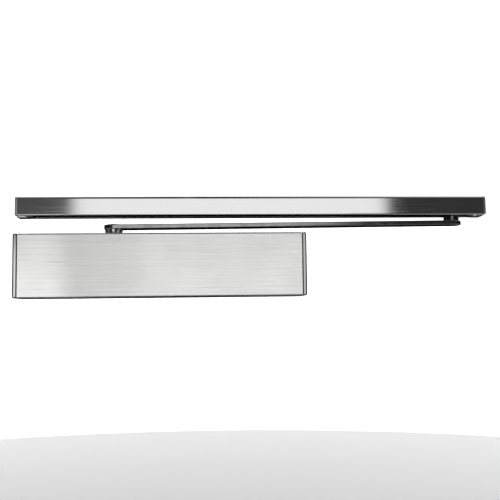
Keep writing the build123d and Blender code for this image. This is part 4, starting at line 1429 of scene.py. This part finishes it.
@dataclass
class Studio:
    """Pale floor, soft light all round and the camera."""

    bright: float = 0.72
    paper_glow: float = 0.5
    floor_z: float = -0.42
    panels: tuple[Panel, ...] = (
        Panel(96.0, 0.5, 80.0, 14.5, 1.0, 0.02),  # dark to the right
        Panel(-96.0, 0.5, 80.0, 14.5, 1.0, 0.02),  # dark to the left
        Panel(180.0, 47.0, 40.0, 45.0, 4.0, 0.02),  # dark behind and above
        Panel(180.0, -40.0, 34.0, 44.0, 3.0, 0.0),  # dark behind and below
        Panel(0.0, -50.0, 34.0, 38.0, 1.0, 0.02),  # dark in front and below
        Panel(22.0, -5.0, 11.0, 12.0, 0.6, 0.06),  # dark beside the screen, right
        Panel(-24.6, -5.0, 10.0, 12.0, 0.6, 0.06),  # dark beside the screen, left
        Panel(-1.5, -4.2, 12.5, 9.8, 0.6, 1.18),  # bright screen that the closer faces
        Panel(-11.6, -4.2, 3.0, 9.8, 0.5, 1.76),  # its brighter left end
        Panel(-6.9, -4.2, 1.6, 9.8, 0.5, 0.86),  # a dimmer band in it
        Panel(-4.5, -4.2, 1.1, 9.8, 0.5, 0.96),  # a second dimmer band
        Panel(-19.0, 46.5, 19.0, 41.0, 0.8, 0.072),  # dark ceiling, left
        Panel(19.0, 46.5, 19.0, 41.0, 0.8, 0.035),  # dark ceiling, right
        Panel(2.93, 8.8, 11.03, 4.2, 0.6, 1.0),  # bright strip that the rail faces
    )

    def build(self) -> None:
        """Make sky, floor, key light and camera."""
        self.sky()
        self.floor()
        self.key_light()
        self.camera()

    def sky(self) -> None:
        """Light all round, with panels painted at their azimuth and elevation."""
        world = bpy.data.worlds.new("studio")
        bpy.context.scene.world = world
        world.use_nodes = True
        graph = Graph(world.node_tree)
        ray = graph.node("ShaderNodeTexCoord").outputs["Generated"]
        parts = graph.node("ShaderNodeSeparateXYZ", inputs={0: ray}).outputs
        x, y, z = (Field(graph, parts[index]) for index in range(3))
        degrees = 180 / math.pi
        azimuth = graph.math("ARCTAN2", x, y * -1.0) * degrees
        elevation = graph.math("ARCSINE", z) * degrees
        level = self.bright * (0.75 + 0.5 * elevation.fade(-60.0, 60.0))
        for panel in self.panels:
            mask = self._mask(graph, azimuth, elevation, panel)
            level = level * (1 - mask) + panel.level * mask
        light = graph.node("ShaderNodeBackground", inputs={"Color": (1, 1, 1, 1), "Strength": level})
        graph.node("ShaderNodeOutputWorld", inputs={"Surface": light.outputs[0]})

    @staticmethod
    def _mask(graph: Graph, azimuth: Field, elevation: Field, panel: Panel) -> Field:
        """How far a direction lies inside a panel.

        Args:
            graph: the sky's node tree.
            azimuth: the direction's azimuth, in degrees.
            elevation: the direction's elevation, in degrees.
            panel: the panel.

        Returns:
            1 inside the panel and 0 outside, with a soft edge.
        """
        turn = graph.math("WRAP", azimuth - panel.azimuth, -180.0, 180.0)
        aside = graph.math("ABSOLUTE", turn)
        above = graph.math("ABSOLUTE", elevation - panel.elevation)
        across = 1 - aside.fade(panel.half_width - panel.soft, panel.half_width + panel.soft)
        along = 1 - above.fade(panel.half_height - panel.soft, panel.half_height + panel.soft)
        return across * along

    def floor(self) -> None:
        """Pale floor that curves up into a wall all round; mirrors see the sky through it."""
        radius, bend, top = 2.6, 0.8, 3.4
        steps, sides = 16, 96
        outline: list[Point] = []
        for step in range(steps + 1):
            bow = math.pi / 2 * step / steps
            outline.append((radius - bend + bend * math.sin(bow), self.floor_z + bend * (1 - math.cos(bow))))
        outline.append((radius, top))
        turns = [2 * math.pi * side / sides for side in range(sides)]
        shape = bmesh.new()
        rings = []
        for reach, height in outline:
            places = [(reach * math.cos(turn), reach * math.sin(turn), height) for turn in turns]
            rings.append([shape.verts.new(place) for place in places])
        shape.faces.new(rings[0])
        for lower, upper in zip(rings, rings[1:]):
            for side in range(sides):
                after = (side + 1) % sides
                shape.faces.new((lower[side], lower[after], upper[after], upper[side]))
        mesh = bpy.data.meshes.new("floor")
        shape.to_mesh(mesh)
        shape.free()
        floor = bpy.data.objects.new("floor", mesh)
        bpy.context.scene.collection.objects.link(floor)
        for polygon in mesh.polygons:
            polygon.use_smooth = True
        mesh.materials.append(self._paper())
        floor.visible_glossy = False
        floor.visible_shadow = False

    def _paper(self) -> bpy.types.Material:
        """Matt white paper that glows a little."""
        material = bpy.data.materials.new("paper")
        material.use_nodes = True
        graph = Graph(material.node_tree)
        sockets = {
            "Base Color": (0.93, 0.93, 0.93, 1),
            "Roughness": 0.9,
            "Emission Color": (1, 1, 1, 1),
            "Emission Strength": self.paper_glow,
        }
        paper = graph.node("ShaderNodeBsdfPrincipled", inputs=sockets)
        graph.node("ShaderNodeOutputMaterial", inputs={"Surface": paper.outputs[0]})
        return material

    @staticmethod
    def key_light() -> None:
        """Large soft lamp above and in front, for the parts that aren't metal."""
        data = bpy.data.lights.new("key", "AREA")
        data.shape = "RECTANGLE"
        data.size = 1.6
        data.size_y = 1.2
        data.energy = 9.0
        lamp = bpy.data.objects.new("key", data)
        lamp.location = (-0.7, -1.3, 1.9)
        aim = Vector((0.1, 0, 0)) - lamp.location
        lamp.rotation_euler = aim.to_track_quat("-Z", "Y").to_euler()
        lamp.visible_glossy = False
        bpy.context.scene.collection.objects.link(lamp)

    @staticmethod
    def camera() -> None:
        """Camera nearly square on and a little below the closer."""
        yaw, pitch, roll = (math.radians(angle) for angle in (4.283, 4.565, -0.703))
        data = bpy.data.cameras.new("camera")
        data.sensor_width = 36.0
        data.lens = 58.39
        data.clip_start = 0.01
        camera = bpy.data.objects.new("camera", data)
        ahead = Vector((math.sin(yaw) * math.cos(pitch), math.cos(yaw) * math.cos(pitch), math.sin(pitch)))
        side = Vector((math.cos(yaw), -math.sin(yaw), 0.0))
        up = side.cross(ahead)
        right = side * math.cos(roll) + up * math.sin(roll)
        top = up * math.cos(roll) - side * math.sin(roll)
        turn = Matrix((right, top, -ahead)).transposed().to_4x4()
        camera.matrix_world = Matrix.Translation((0.02776, -0.85413, -0.05057)) @ turn
        bpy.context.scene.collection.objects.link(camera)
        bpy.context.scene.camera = camera


def main() -> None:
    """Build the object and its studio."""
    logging.basicConfig(level=logging.INFO, format="%(name)s: %(message)s")
    bpy.context.scene.view_settings.view_transform = "Standard"
    for assembly in (Mechanism(), CloserCase(), SlideArm(), GuideRail(), Studio()):
        assembly.build()
        LOG.info("%s built", type(assembly).__name__)


if __name__ == "__main__":
    main()
